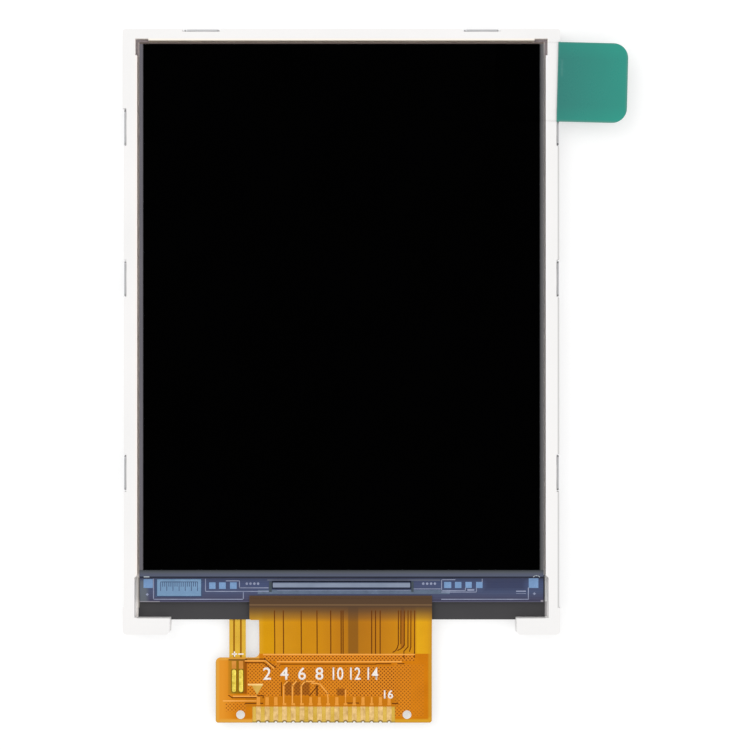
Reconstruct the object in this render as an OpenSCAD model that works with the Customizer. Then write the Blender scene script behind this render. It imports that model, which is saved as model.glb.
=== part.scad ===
// Colour TFT display module, lying on its back with its flex tail straight.
// Millimetres. The origin is the middle of the back face, +X is to the right,
// +Y is to the top of the screen and +Z points out of the screen.

/* [Panel] */
// Width of both glass plates
glass_w = 46.2; // [42:0.1:56]
// Length of the array glass, the plate that carries the driver chip
array_l = 64; // [60:0.1:80]
// Length of the ledge that the filter glass leaves free
ledge_l = 2.85; // [2.7:0.05:3.6]
// Thickness of each glass plate
glass_t = 0.4; // [0.35:0.05:0.6]
// Distance from the side edges of the glass to the polarizers
polarizer_side = 0.45; // [0.3:0.05:1]
// Distance from the top edge of the glass to the polarizers
polarizer_head = 0.2; // [0.2:0.05:1]
// Distance from the lower edge of the filter glass to the polarizers
polarizer_foot = 0.85; // [0.5:0.05:1.5]
// Thickness of each polarizer
polarizer_t = 0.14; // [0.1:0.01:0.2]
// Thickness of the protective film
film_t = 0.05; // [0.03:0.01:0.1]

/* [Frame] */
// Clearance between the glass and the side walls
panel_gap = 0.25; // [0.15:0.05:0.4]
// Clearance between the glass and the top wall
panel_gap_top = 0.2; // [0.1:0.05:0.4]
// Width of each side wall beside the panel
side_wall = 1.65; // [1.4:0.05:3]
// Width of the top wall
top_wall = 1.3; // [1:0.05:3]
// Width of the seat that carries the rim tape
seat_w = 0.6; // [0.5:0.05:0.8]
// Distance from the array glass to the outer edge of the lower bar
bar_reach = 2.06; // [1.9:0.02:3]
// Distance that the lugs stand out past the lower bar
lug_reach = 1.64; // [1:0.02:4]
// Distance that the lugs stand over the lower bar
lug_lap = 0.26; // [0.1:0.02:0.6]
// Length of the left lug
lug_left_l = 5.4; // [3:0.1:8]
// Length of the right lug
lug_right_l = 5; // [3:0.1:8]
// Slant of the left lug's end face
lug_slant = 0.05; // [0:0.05:0.6]
// Chamfer at the ends of the lugs
lug_chamfer = 0.3; // [0.1:0.05:0.8]
// Radius of the outer corners at the top
head_r = 0.3; // [0.1:0.05:1]
// Radius of the outer corners of the lugs
foot_r = 0.5; // [0.2:0.05:1.4]
// Depth of the long recess in each side face
recess_t = 0.13; // [0.05:0.01:0.3]
// Distance from the top edge to the side recess
recess_head = 9.3; // [3:0.1:10]
// Distance from the bottom edge to the side recess
recess_foot = 3.1; // [2:0.1:6]
// Depth of the relief in the side walls beside the ledge
relief_t = 0.3; // [0.1:0.05:0.5]
// Distance that the relief starts above the ledge
relief_rise = 0.25; // [0.1:0.05:1]
// Depth of the corner reliefs at the top of the pocket
corner_t = 0.2; // [0.1:0.05:0.4]
// Width of the corner reliefs
corner_w = 1.5; // [1:0.1:3]
// Length of the corner reliefs
corner_l = 1.9; // [1:0.1:3]

/* [Tray and snap tabs] */
// Thickness of the tray's sheet metal
tray_t = 0.2; // [0.15:0.05:0.3]
// Inside radius of the folds
fold_r = 0.1; // [0.05:0.01:0.15]
// Distance from the module's edge to the flat edge of the tray
tray_inset = 0.4; // [0.35:0.05:0.6]
// Radius of the tray's upper corners
tray_head_r = 1.2; // [0.5:0.1:3]
// Radius of the tray's lower corners
tray_foot_r = 0.6; // [0.2:0.1:3]
// Length of each snap tab
tab_l = 4; // [3:0.1:6]
// Distance from the front face down to the tabs' upper edges
tab_drop = 0.4; // [0.2:0.05:0.5]
// Radius of the tabs' upper corners
tab_corner_r = 0.35; // [0.1:0.05:0.5]
// Clearance beside the tabs in the frame
tab_side_gap = 0.15; // [0.05:0.05:0.4]
// Width of the relief slits beside the folds
slit_w = 0.3; // [0.2:0.05:0.5]
// Depth of the relief slits
slit_l = 0.5; // [0.4:0.05:1]
// Distance from the top edge to the first side tab's middle
side_tab_1 = 11.2; // [6:0.1:16]
// Distance from the top edge to the second side tab's middle
side_tab_2 = 28.5; // [22:0.1:40]
// Distance from the top edge to the third side tab's middle
side_tab_3 = 50.7; // [46:0.1:54]
// Distance from the middle line to each top tab's middle
top_tab_x = 16; // [6:0.1:19]
// Length of the nib behind each tab
nib_l = 1.8; // [1:0.1:2.4]
// Height of the nib
nib_h = 0.5; // [0.4:0.05:0.6]
// Height of the square land above the nib's ramp
nib_land = 0.2; // [0.1:0.05:0.3]
// Distance that the nib enters the tab's window
nib_bite = 0.1; // [0.05:0.01:0.15]
// Height of the nib's lower edge above the tray
nib_rise = 0.8; // [0.5:0.05:0.9]
// Clearance round the nib in the tab's window
nib_gap = 0.06; // [0.03:0.01:0.1]

/* [Backlight] */
// Thickness of the reflector sheet
reflector_t = 0.1; // [0.08:0.01:0.15]
// Thickness of the light guide
guide_t = 0.6; // [0.5:0.05:1]
// Clearance round the light guide and the reflector
guide_gap = 0.15; // [0.05:0.05:0.3]
// Thickness of the diffuser sheet
diffuser_t = 0.08; // [0.08:0.01:0.15]
// Thickness of each prism sheet
prism_t = 0.09; // [0.08:0.01:0.15]
// Clearance round the film sheets
sheet_gap = 0.2; // [0.05:0.05:0.3]
// Width of the ears that hold the light guide
guide_ear_w = 3; // [2:0.1:5]
// Distance that those ears stand out
guide_ear_t = 0.45; // [0.3:0.05:0.5]
// Distance from the light guide's lower edge to its ears
guide_ear_rise = 6; // [4:0.1:10]
// Width of the ears on the film sheets
sheet_ear_w = 2.4; // [1.5:0.1:4]
// Distance that those ears stand out
sheet_ear_t = 0.4; // [0.3:0.05:0.5]
// Distance from the films' upper edge to their ears
sheet_ear_drop = 8; // [4:0.1:12]
// Thickness of the rim tape
rim_tape_t = 0.06; // [0.05:0.01:0.1]
// Clearance between the rim tape and the walls
rim_tape_gap = 0.05; // [0.05:0.05:0.3]
// Distance that the rim tape's opening lies inside the polarizer at each side
window_side = 0.5; // [0.3:0.05:1]
// Distance that it lies inside at the top and the bottom
window_end = 0.7; // [0.3:0.05:1]

/* [Light strip] */
// Length of each side-view LED
led_l = 3.8; // [2.5:0.1:5]
// Depth of each LED, from its light window to its back
led_d = 1.2; // [0.8:0.05:1.3]
// Height of each LED
led_h = 0.6; // [0.4:0.05:0.65]
// Distance from the LEDs to the light guide
led_gap = 0.1; // [0.05:0.01:0.15]
// Clearance behind and beside the LEDs in the bar
led_pocket_gap = 0.15; // [0.1:0.05:0.2]
// Length of the light window in each LED
led_window_l = 3; // [1.5:0.1:3.4]
// Height of that window
led_window_h = 0.4; // [0.2:0.05:0.4]
// Depth of that window
led_window_d = 0.15; // [0.05:0.05:0.3]
// Length of the terminal pads at the ends of each LED
led_pad_l = 0.5; // [0.3:0.05:0.8]
// Thickness of the tape that holds the light strip, and of its solder
strip_tape_t = 0.05; // [0.04:0.01:0.06]
// Thickness of the light strip's flex
strip_t = 0.1; // [0.08:0.01:0.1]
// Width of the light strip
strip_w = 3.3; // [3:0.05:3.6]
// Distance from the light strip's ends to the cavity's sides
strip_end = 1.75; // [1:0.05:3]
// Width of the bar's full-height lip
lip_w = 0.9; // [0.6:0.05:1.1]
// Clearance between the light strip and that lip
strip_gap = 0.15; // [0.1:0.05:0.3]
// Distance from the light strip's lower edge to the LEDs' backs
led_inset = 0.61; // [0.4:0.01:0.8]
// Width of the light strip's tail
tail_w = 1.9; // [1.8:0.05:2.4]
// Distance from the contacts' middle to the tail's middle
tail_offset = 9.9; // [9.6:0.05:10.6]
// Clearance beside the tail in the lip
tail_gap = 0.1; // [0.05:0.05:0.3]

/* [Driver chip] */
// Length of the driver chip
chip_l = 15.7; // [10:0.1:20]
// Width of the driver chip
chip_w = 0.7; // [0.5:0.05:0.9]
// Thickness of the driver chip
chip_t = 0.3; // [0.2:0.01:0.3]
// Distance from the filter glass to the chip
chip_gap = 0.54; // [0.3:0.02:0.6]
// Thickness of the bond films under the chip and under the flex
bond_t = 0.03; // [0.02:0.01:0.04]
// Distance that the chip's bond film stands out round the chip
bond_rim = 0.1; // [0.02:0.01:0.15]

/* [Flex tail] */
// Distance from the module's middle line to the contacts' middle line
flex_offset = 2.05; // [0:0.05:3]
// Width of the wide end of the flex
flex_w = 24.8; // [24.2:0.1:26]
// Length of the wide end
flex_l = 7.48; // [7:0.05:9]
// Width of the neck
neck_w = 19.8; // [18:0.1:20.2]
// Length from the bonded edge to the wide end
neck_l = 7.16; // [7:0.05:9]
// Distance that the bonded edge stands out past the neck at the left
shoulder_w = 1.09; // [0.5:0.01:1.3]
// Length of that shoulder
shoulder_l = 2.8; // [2:0.05:3]
// Radius of its lower corner
shoulder_r = 0.25; // [0.1:0.05:0.5]
// Distance that the flex laps over the array glass
bond_l = 0.73; // [0.5:0.01:0.9]
// Distance from the array glass to the start of the bend
bend_start = 0.5; // [0.3:0.05:0.7]
// Length of the bend
bend_run = 5; // [4:0.1:5.5]
// Thickness of the base film with its copper
base_t = 0.07; // [0.05:0.01:0.1]
// Thickness of the cover film
cover_t = 0.05; // [0.04:0.01:0.08]
// Distance that the cover film stays clear of the bonded edge
cover_inset = 0.3; // [0.1:0.05:0.5]
// Radius of the wide end's upper left corner
wide_corner_r = 0.55; // [0.3:0.05:1.3]
// Radius of the wide end's lower corners
flex_corner_r = 0.3; // [0.1:0.05:0.6]
// Fillet where the neck meets the wide end
neck_fillet = 0.6; // [0.2:0.05:1]
// Radius of the locating holes
hole_r = 0.5; // [0.4:0.05:0.6]
// Distance from the contacts' middle line to each locating hole
hole_x = 9.55; // [9.5:0.05:9.8]
// Distance from the flex's lower edge to the locating holes
hole_rise = 0.91; // [0.8:0.01:1.2]

/* [Contacts] */
// Distance between contacts
pitch = 1; // [0.8:0.05:1]
// Width of each contact
contact_w = 0.55; // [0.4:0.01:0.6]
// Length of the contacts, and of the gap in the cover film
contact_l = 1.85; // [1.2:0.05:2.4]
// Thickness of the contact metal on each face
contact_t = 0.03; // [0.02:0.01:0.04]
// Radius of the half holes in the contacts' ends
notch_r = 0.15; // [0.1:0.01:0.18]
// Distance that the gap in the cover film runs past the end contacts
contact_margin = 0.42; // [0.2:0.01:0.6]

/* [Solder joints] */
// Length of the two slots that the tail is soldered through
slot_l = 2.6; // [2:0.05:3]
// Width of each slot
slot_w = 0.45; // [0.3:0.01:0.5]
// Distance between the slots' middle lines
slot_pitch = 0.8; // [0.75:0.01:0.9]
// Distance from the wide end's upper edge to the slots' middle
slot_drop = 2.67; // [2:0.01:3]
// Distance that the tail runs on past the slots
tail_end = 0.4; // [0.2:0.05:0.8]
// Distance that the gap in the cover film stands out round the slots
slot_rim = 0.12; // [0.05:0.01:0.2]
// Height that the solder stands above the base film
solder_h = 0.1; // [0.06:0.01:0.15]
// Radius of the solder's domed top
solder_r = 0.6; // [0.4:0.05:1]

/* [Pull tab] */
// Width of the coloured tab
pull_w = 8; // [5:0.1:12]
// Length of the coloured tab, and of its carrier tape
pull_l = 9.1; // [6:0.1:14]
// Distance that the tab starts inside the frame's edge
pull_inset = 0.23; // [0.1:0.01:1]
// Length of carrier tape that is stuck to the protective film
pull_grip = 5; // [3:0.1:10]
// Radius of the free corners
pull_r = 1.7; // [0.5:0.1:2.5]
// Angle that the tab was stuck on at
pull_turn = -1.4; // [-4:0.1:4]
// Thickness of the carrier tape
carrier_t = 0.05; // [0.03:0.01:0.1]
// Thickness of the coloured film
pull_t = 0.05; // [0.03:0.01:0.1]

/* [Hidden] */
$fn = 64;
led_count = 4;
contact_count = 16;
// What a cut runs past the faces that it opens
over = 1;

// Widths, from the middle line
frame_w = glass_w + 2 * (panel_gap + side_wall);
frame_x = frame_w / 2;
side_x = frame_x - recess_t;
pocket_x = glass_w / 2 + panel_gap;
cavity_x = pocket_x - seat_w;
guide_x = cavity_x - guide_gap;
sheet_x = cavity_x - sheet_gap;
polarizer_x = glass_w / 2 - polarizer_side;
window_x = polarizer_x - window_side;
lug_left_x = -frame_x + lug_left_l;
lug_right_x = frame_x - lug_right_l;

// Lengths, from the module's middle
filter_l = array_l - ledge_l;
frame_l = top_wall + panel_gap_top + array_l + bar_reach + lug_reach;
top_y = frame_l / 2;
bottom_y = -top_y;
pocket_y = top_y - top_wall;
cavity_y = pocket_y - seat_w;
glass_y = pocket_y - panel_gap_top;
filter_y = glass_y - filter_l;
array_y = glass_y - array_l;
bar_y = array_y - bar_reach;
lug_y = bar_y + lug_lap;
polarizer_y = glass_y - polarizer_head;
polarizer_low_y = filter_y + polarizer_foot;
window_y = polarizer_y - window_end;
window_low_y = polarizer_low_y + window_end;

// Heights, from the back face: each layer starts where the last one ends
guide_z = tray_t + reflector_t;
sheets_z = guide_z + guide_t;
lower_prism_z = sheets_z + diffuser_t;
upper_prism_z = lower_prism_z + prism_t;
seat_z = upper_prism_z + prism_t;
rear_polarizer_z = seat_z + rim_tape_t;
array_z = rear_polarizer_z + polarizer_t;
filter_z = array_z + glass_t;
front_polarizer_z = filter_z + glass_t;
front_z = front_polarizer_z + polarizer_t;
strip_z = sheets_z + strip_tape_t;

// The light strip's places follow the lip of the lower bar
strip_low_y = bar_y + lip_w + strip_gap;
strip_y = strip_low_y + strip_w;
led_back_y = strip_low_y + led_inset;
led_front_y = led_back_y + led_d;
guide_low_y = led_front_y + led_gap;
bar_inner_y = guide_low_y - guide_gap;
sheet_low_y = strip_y + sheet_gap;
strip_x = cavity_x - strip_end;
led_pitch = 2 * strip_x / led_count;
guide_ear_y = guide_low_y + guide_ear_rise;
sheet_ear_y = cavity_y - sheet_gap - sheet_ear_drop;

// The tabs stand in recesses that are as deep as their folds
fold_outer_r = tray_t + fold_r;
nib_z = tray_t + nib_rise;
nib_t = fold_r + nib_bite;
tab_top_z = front_z - tab_drop;
side_tab_y = [top_y - side_tab_1, top_y - side_tab_2, top_y - side_tab_3];

// The flex: bonded high on the array glass, level with the tail at its wide end
flex_x = -flex_offset;
flex_high_z = filter_z + bond_t;
flex_low_z = strip_z + strip_t;
flex_y = array_y + bond_l;
bend_y = array_y - bend_start;
wide_y = flex_y - neck_l;
flex_end_y = wide_y - flex_l;
flex_left_x = flex_x - flex_w / 2;
flex_right_x = flex_x + flex_w / 2;
neck_left_x = flex_right_x - neck_w;
bend_drop = flex_high_z - flex_low_z;
// Both arcs of the bend have this radius on the flex's lower face
arc_r = (bend_run * bend_run + bend_drop * bend_drop) / (4 * bend_drop);
arc_angle = asin(bend_run / (2 * arc_r));
hole_y = flex_end_y + hole_rise;
contact_span = (contact_count - 1) * pitch;
tail_x = flex_x - tail_offset;
slot_y = wide_y - slot_drop;
tail_y = slot_y - slot_l / 2 - tail_end;

// A box from one corner to the opposite one
module box(low, high) {
    translate(low) cube(high - low);
}

// What a rounded corner loses: a square of the radius less its circle
module corner_loss(r) {
    difference() {
        translate([-over, -over]) square(r + over);
        translate([r, r]) circle(r);
    }
}

// A rectangle with a radius for each corner, anticlockwise from the lower left
module rounded(low, high, radii) {
    corners = [low, [high.x, low.y], high, [low.x, high.y]];
    difference() {
        translate(low) square(high - low);
        for (i = [0 : 3])
            if (radii[i] > 0)
                translate(corners[i]) rotate(90 * i) corner_loss(radii[i]);
    }
}

// A slot with round ends, along Y, about the origin
module slot(w, l) {
    square([w, l - w], center = true);
    for (s = [-1, 1]) translate([0, s * (l - w) / 2]) circle(w / 2);
}

// Each child at both sides, the left one mirrored
module both_sides() {
    children();
    mirror([1, 0, 0]) children();
}

// Frame

// The lugs' outline, from the lower bar to the bottom edge
module lugs_2d() {
    polygon([
        [-frame_x, lug_y], [lug_left_x, lug_y], [lug_left_x, bar_y],
        [lug_left_x - lug_slant, bottom_y + lug_chamfer],
        [lug_left_x - lug_slant - lug_chamfer, bottom_y], [-frame_x, bottom_y]
    ]);
    polygon([
        [frame_x, lug_y], [lug_right_x, lug_y], [lug_right_x, bar_y],
        [lug_right_x, bottom_y + lug_chamfer],
        [lug_right_x + lug_chamfer, bottom_y], [frame_x, bottom_y]
    ]);
}

// The frame's outline, with the long recess in each side face
module frame_2d() {
    difference() {
        intersection() {
            rounded([-frame_x, bottom_y], [frame_x, top_y], [foot_r, foot_r, head_r, head_r]);
            union() {
                translate([-frame_x, bar_y]) square([frame_w, top_y - bar_y]);
                lugs_2d();
            }
        }
        both_sides()
            translate([side_x, bottom_y + recess_foot])
                square([recess_t + over, frame_l - recess_head - recess_foot]);
    }
}

// The pocket that the panel lies in, open past the lower bar between the lugs
module pocket_2d() {
    translate([-pocket_x, lug_y]) square([2 * pocket_x, pocket_y - lug_y]);
    translate([lug_left_x, bar_y - over])
        square([lug_right_x - lug_left_x, lug_y - bar_y + 2 * over]);
    both_sides() {
        // Relief beside the ledge, with a slanted start
        polygon([
            [pocket_x - over, filter_y + relief_rise + over],
            [pocket_x, filter_y + relief_rise],
            [pocket_x + relief_t, filter_y + relief_rise - relief_t],
            [pocket_x + relief_t, lug_y + rim_tape_gap],
            [pocket_x - over, lug_y + rim_tape_gap]
        ]);
        // Corner relief
        translate([pocket_x + corner_t - corner_w, pocket_y + corner_t - corner_l])
            square([corner_w, corner_l]);
    }
}

// The cavity for the backlight, with notches for the ears of its sheets
module cavity_2d() {
    translate([-cavity_x, bar_inner_y]) square([2 * cavity_x, cavity_y - bar_inner_y]);
    ear_2d(guide_ear_y, cavity_x + guide_ear_t, guide_ear_w + 2 * guide_gap);
    ear_2d(sheet_ear_y, cavity_x + sheet_ear_t, sheet_ear_w + 2 * sheet_gap);
}

// A pair of ears, one at each side, out to x
module ear_2d(y, x, w) {
    translate([-x, y - w / 2]) square([2 * x, w]);
}

// One row of places along the light strip
module at_leds() {
    for (i = [0 : led_count - 1]) translate([led_x(i), 0]) children();
}
function led_x(i) = (i - (led_count - 1) / 2) * led_pitch;

// The room for the LEDs, cut into the bar
module led_pockets_2d() {
    at_leds()
        translate([-led_l / 2 - led_pocket_gap, led_back_y - led_pocket_gap])
            square([led_l + 2 * led_pocket_gap, bar_inner_y + over - led_back_y]);
}

// The tabs' places: each tab's outer face is at its own X = 0, its plate at -X
module at_tabs() {
    both_sides() {
        for (y = side_tab_y) translate([side_x, y, 0]) children();
        translate([top_tab_x, top_y, 0]) rotate(90) children();
    }
}

// A nib, ramped below so that the tab rides over it, square above; its root
// is sunk into the wall
module nib() {
    root = -nib_t;
    translate([-fold_outer_r, nib_l / 2, nib_z])
        rotate([90, 0, 0])
            linear_extrude(nib_l)
                polygon([[root, 0], [0, 0], [nib_t, nib_h - nib_land], [nib_t, nib_h], [root, nib_h]]);
}

module frame() {
    color("whitesmoke") {
        difference() {
            union() {
                translate([0, 0, tray_t]) linear_extrude(front_z - tray_t) frame_2d();
                // The lugs reach down to the back face, beside the tray
                linear_extrude(front_z)
                    intersection() {
                        frame_2d();
                        translate([-frame_x, bottom_y]) square([frame_w, lug_reach]);
                    }
            }
            translate([0, 0, seat_z]) linear_extrude(front_z) pocket_2d();
            linear_extrude(front_z) {
                cavity_2d();
                led_pockets_2d();
            }
            // Recess for the light strip, and the way out for its tail
            box(
                [-strip_x - strip_gap, bar_y + lip_w, sheets_z],
                [strip_x + strip_gap, bar_inner_y + over, front_z]
            );
            box(
                [tail_x - tail_w / 2 - tail_gap, bar_y - over, sheets_z],
                [tail_x + tail_w / 2 + tail_gap, bar_inner_y, front_z]
            );
            at_tabs()
                box(
                    [-fold_outer_r, -tab_l / 2 - tab_side_gap, -over],
                    [over, tab_l / 2 + tab_side_gap, front_z + over]
                );
        }
        at_tabs() nib();
    }
}

// Rear tray

// A tab's blade, flat: X along the edge and Y up, with its window
module tab_blade_2d() {
    difference() {
        rounded(
            [-tab_l / 2, fold_outer_r], [tab_l / 2, tab_top_z],
            [0, 0, tab_corner_r, tab_corner_r]
        );
        translate([-nib_l / 2 - nib_gap, nib_z - nib_gap])
            square([nib_l + 2 * nib_gap, nib_h + 2 * nib_gap]);
    }
}

// A tab: its blade stands on a quarter-round fold
module folded_tab() {
    translate([-tray_t, 0, 0]) rotate([90, 0, 90]) linear_extrude(tray_t) tab_blade_2d();
    translate([-fold_outer_r, tab_l / 2, fold_outer_r])
        rotate([90, 0, 0])
            linear_extrude(tab_l)
                intersection() {
                    difference() {
                        circle(fold_outer_r);
                        circle(fold_r);
                    }
                    translate([0, -fold_outer_r]) square(fold_outer_r);
                }
}

module rear_tray() {
    color("silver") {
        linear_extrude(tray_t)
            difference() {
                union() {
                    rounded(
                        [-side_x + tray_inset, bar_y + tray_inset],
                        [side_x - tray_inset, top_y - tray_inset],
                        [tray_foot_r, tray_foot_r, tray_head_r, tray_head_r]
                    );
                    at_tabs() translate([-fold_outer_r - slit_l, -tab_l / 2]) square([slit_l, tab_l]);
                }
                at_tabs()
                    for (s = [-1, 1])
                        translate([-fold_outer_r - slit_l, s * (tab_l + slit_w) / 2 - slit_w / 2])
                            square([slit_l + over, slit_w]);
            }
        at_tabs() folded_tab();
    }
}

// Backlight

module reflector_sheet() {
    color("white")
        box([-guide_x, guide_low_y, tray_t], [guide_x, cavity_y - guide_gap, guide_z]);
}

module light_guide() {
    color("azure")
        translate([0, 0, guide_z])
            linear_extrude(guide_t) {
                translate([-guide_x, guide_low_y])
                    square([2 * guide_x, cavity_y - guide_gap - guide_low_y]);
                ear_2d(guide_ear_y, cavity_x + guide_ear_t - guide_gap, guide_ear_w);
            }
}

// A film sheet with its ears
module film_sheet(z, t) {
    translate([0, 0, z])
        linear_extrude(t) {
            translate([-sheet_x, sheet_low_y]) square([2 * sheet_x, cavity_y - sheet_gap - sheet_low_y]);
            ear_2d(sheet_ear_y, cavity_x + sheet_ear_t - sheet_gap, sheet_ear_w);
        }
}

module diffuser_sheet() {
    color("whitesmoke") film_sheet(sheets_z, diffuser_t);
}

module lower_prism_sheet() {
    color("lightgray") film_sheet(lower_prism_z, prism_t);
}

module upper_prism_sheet() {
    color("gainsboro") film_sheet(upper_prism_z, prism_t);
}

// A side-view LED: its light window faces the light guide, its terminal pads
// are on top and are soldered to the strip above
module led(i) {
    led_z = strip_z - strip_tape_t - led_h;
    color("ivory")
        translate([led_x(i), led_back_y, led_z]) {
            difference() {
                box([-led_l / 2, 0, 0], [led_l / 2, led_d, led_h]);
                box(
                    [-led_window_l / 2, led_d - led_window_d, (led_h - led_window_h) / 2],
                    [led_window_l / 2, led_d + over, (led_h + led_window_h) / 2]
                );
            }
            both_sides()
                box(
                    [led_l / 2 - led_pad_l, 0, led_h],
                    [led_l / 2, led_d - led_window_d, led_h + strip_tape_t]
                );
        }
}

module led_strip() {
    color("goldenrod")
        translate([0, 0, strip_z])
            linear_extrude(strip_t) {
                translate([-strip_x, strip_low_y]) square([2 * strip_x, strip_w]);
                translate([tail_x - tail_w / 2, tail_y]) square([tail_w, strip_y - tail_y]);
            }
}

module led_strip_tape() {
    color("khaki")
        translate([0, 0, sheets_z])
            linear_extrude(strip_tape_t)
                difference() {
                    translate([-strip_x, strip_low_y]) square([2 * strip_x, strip_w]);
                    at_leds()
                        translate([-led_l / 2 - led_pocket_gap, led_back_y - led_pocket_gap])
                            square([led_l + 2 * led_pocket_gap, led_d + led_gap + 2 * led_pocket_gap]);
                }
}

module rim_tape() {
    outer_x = pocket_x - rim_tape_gap;
    color("dimgray")
        translate([0, 0, seat_z])
            linear_extrude(rim_tape_t)
                difference() {
                    union() {
                        translate([-outer_x, lug_y + rim_tape_gap])
                            square([2 * outer_x, pocket_y - rim_tape_gap - lug_y - rim_tape_gap]);
                        translate([lug_left_x + rim_tape_gap, bar_y])
                            square([lug_right_x - lug_left_x - 2 * rim_tape_gap, lug_y + over - bar_y]);
                    }
                    translate([-window_x, window_low_y]) square([2 * window_x, window_y - window_low_y]);
                }
}

// Panel

// A layer over the polarizers' area, from z upwards
module polarizer_layer(z, t) {
    box([-polarizer_x, polarizer_low_y, z], [polarizer_x, polarizer_y, z + t]);
}

module rear_polarizer() {
    color("darkslategray") polarizer_layer(rear_polarizer_z, polarizer_t);
}

module array_glass() {
    color("slategray") box([-glass_w / 2, array_y, array_z], [glass_w / 2, glass_y, array_z + glass_t]);
}

module filter_glass() {
    color("gray") box([-glass_w / 2, filter_y, filter_z], [glass_w / 2, glass_y, filter_z + glass_t]);
}

module front_polarizer() {
    color("black") polarizer_layer(front_polarizer_z, polarizer_t);
}

module protective_film() {
    color([0.9, 0.95, 1, 0.3]) polarizer_layer(front_z, film_t);
}

// Driver chip

module chip_bond_film() {
    color("darkgray")
        box(
            [-chip_l / 2 - bond_rim, filter_y - chip_gap - chip_w - bond_rim, filter_z],
            [chip_l / 2 + bond_rim, filter_y - chip_gap + bond_rim, filter_z + bond_t]
        );
}

module driver_chip() {
    color("lightsteelblue")
        box(
            [-chip_l / 2, filter_y - chip_gap - chip_w, filter_z + bond_t],
            [chip_l / 2, filter_y - chip_gap, filter_z + bond_t + chip_t]
        );
}

// Flex tail

// The bend's section in the YZ plane, for a layer of thickness t whose lower
// face lies rise above the flex's lower face
module bend_2d(rise, t) {
    reach = 2 * arc_r;
    high = [bend_y, flex_high_z - arc_r];
    low = [bend_y - bend_run, flex_low_z + arc_r];
    intersection() {
        translate(high)
            difference() {
                circle(arc_r + rise + t, $fn = 360);
                circle(arc_r + rise, $fn = 360);
            }
        polygon([high, high + [0, reach], high + reach * [-sin(arc_angle), cos(arc_angle)]]);
    }
    intersection() {
        translate(low)
            difference() {
                circle(arc_r - rise, $fn = 360);
                circle(arc_r - rise - t, $fn = 360);
            }
        polygon([low, low - [0, reach], low - reach * [-sin(arc_angle), cos(arc_angle)]]);
    }
}

// A layer of the flex: flat on the glass, down the bend, flat at the wide end
module flex_layer(start_y, rise, t) {
    translate([flex_x - flex_w, 0, 0])
        rotate([90, 0, 90])
            linear_extrude(2 * flex_w) {
                translate([bend_y, flex_high_z + rise]) square([start_y - bend_y, t]);
                bend_2d(rise, t);
                translate([flex_end_y, flex_low_z + rise])
                    square([bend_y - bend_run - flex_end_y, t]);
            }
}

// The flex's outline seen from above
module flex_outline_2d() {
    rounded(
        [flex_left_x, flex_end_y], [flex_right_x, wide_y],
        [flex_corner_r, flex_corner_r, 0, wide_corner_r]
    );
    translate([neck_left_x, wide_y - over]) square([neck_w, neck_l + over]);
    rounded(
        [neck_left_x - shoulder_w, flex_y - shoulder_l], [flex_right_x, flex_y],
        [shoulder_r, 0, 0, 0]
    );
    // Fillet between the wide end and the neck
    translate([neck_left_x, wide_y]) rotate(90) corner_loss(neck_fillet);
}

module at_holes() {
    for (s = [-1, 1]) translate([flex_x + s * hole_x, hole_y]) children();
}

module at_slots() {
    for (s = [-1, 1]) translate([tail_x + s * slot_pitch / 2, slot_y]) children();
}

module at_contacts() {
    for (i = [0 : contact_count - 1])
        translate([flex_x - contact_span / 2 + i * pitch, flex_end_y]) children();
}

module flex_bond_film() {
    color("darkgray")
        box([neck_left_x - shoulder_w, array_y, filter_z], [flex_right_x, flex_y, filter_z + bond_t]);
}

module main_flex() {
    color("orange")
        intersection() {
            flex_layer(flex_y, 0, base_t);
            linear_extrude(front_z)
                difference() {
                    flex_outline_2d();
                    at_holes() circle(hole_r);
                    at_slots() slot(slot_w, slot_l);
                    at_contacts() circle(notch_r + contact_t);
                }
        }
}

module flex_coverlay() {
    gap_x = contact_span / 2 + contact_w / 2 + contact_margin;
    color("darkorange")
        intersection() {
            flex_layer(flex_y - cover_inset, base_t, cover_t);
            linear_extrude(front_z)
                difference() {
                    flex_outline_2d();
                    at_holes() circle(hole_r);
                    at_slots() slot(slot_w + 2 * slot_rim, slot_l + 2 * slot_rim);
                    translate([flex_x - gap_x, flex_end_y - over]) square([2 * gap_x, contact_l + over]);
                }
        }
}

// A contact wraps the flex's edge: a pad on each face and a plated half hole
module contact_fingers() {
    low_z = flex_low_z - contact_t;
    high_z = flex_low_z + base_t;
    color("gold")
        at_contacts()
            difference() {
                union() {
                    for (z = [low_z, high_z])
                        translate([0, 0, z])
                            linear_extrude(contact_t)
                                translate([-contact_w / 2, 0]) square([contact_w, contact_l]);
                    intersection() {
                        translate([0, 0, low_z])
                            cylinder(r = notch_r + contact_t, h = base_t + 2 * contact_t);
                        box([-contact_w, 0, low_z], [contact_w, contact_l, high_z + contact_t]);
                    }
                }
                translate([0, 0, low_z - over]) cylinder(r = notch_r, h = base_t + 2 * (contact_t + over));
            }
}

// Solder fills a slot in the flex, down to the tail, and domes over above it
module solder_joint(s) {
    color("silver")
        translate([tail_x + s * slot_pitch / 2, slot_y, flex_low_z])
            intersection() {
                linear_extrude(base_t + solder_h) slot(slot_w, slot_l);
                translate([0, slot_l, base_t + solder_h - solder_r])
                    rotate([90, 0, 0])
                        cylinder(r = solder_r, h = 2 * slot_l);
            }
}

// Pull tab

// Places its children at the tab's inner upper corner, turned as it was stuck on
module at_pull_tab(z) {
    translate([frame_x - pull_inset, glass_y, z]) rotate(pull_turn) children();
}

module pull_tab_carrier() {
    tape_l = frame_x - pull_inset - polarizer_x + pull_grip;
    color([0.9, 0.95, 1, 0.4])
        at_pull_tab(front_z + film_t)
            linear_extrude(carrier_t)
                rounded([-tape_l, -pull_l], [pull_w, 0], [0, pull_r, pull_r, 0]);
}

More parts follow.
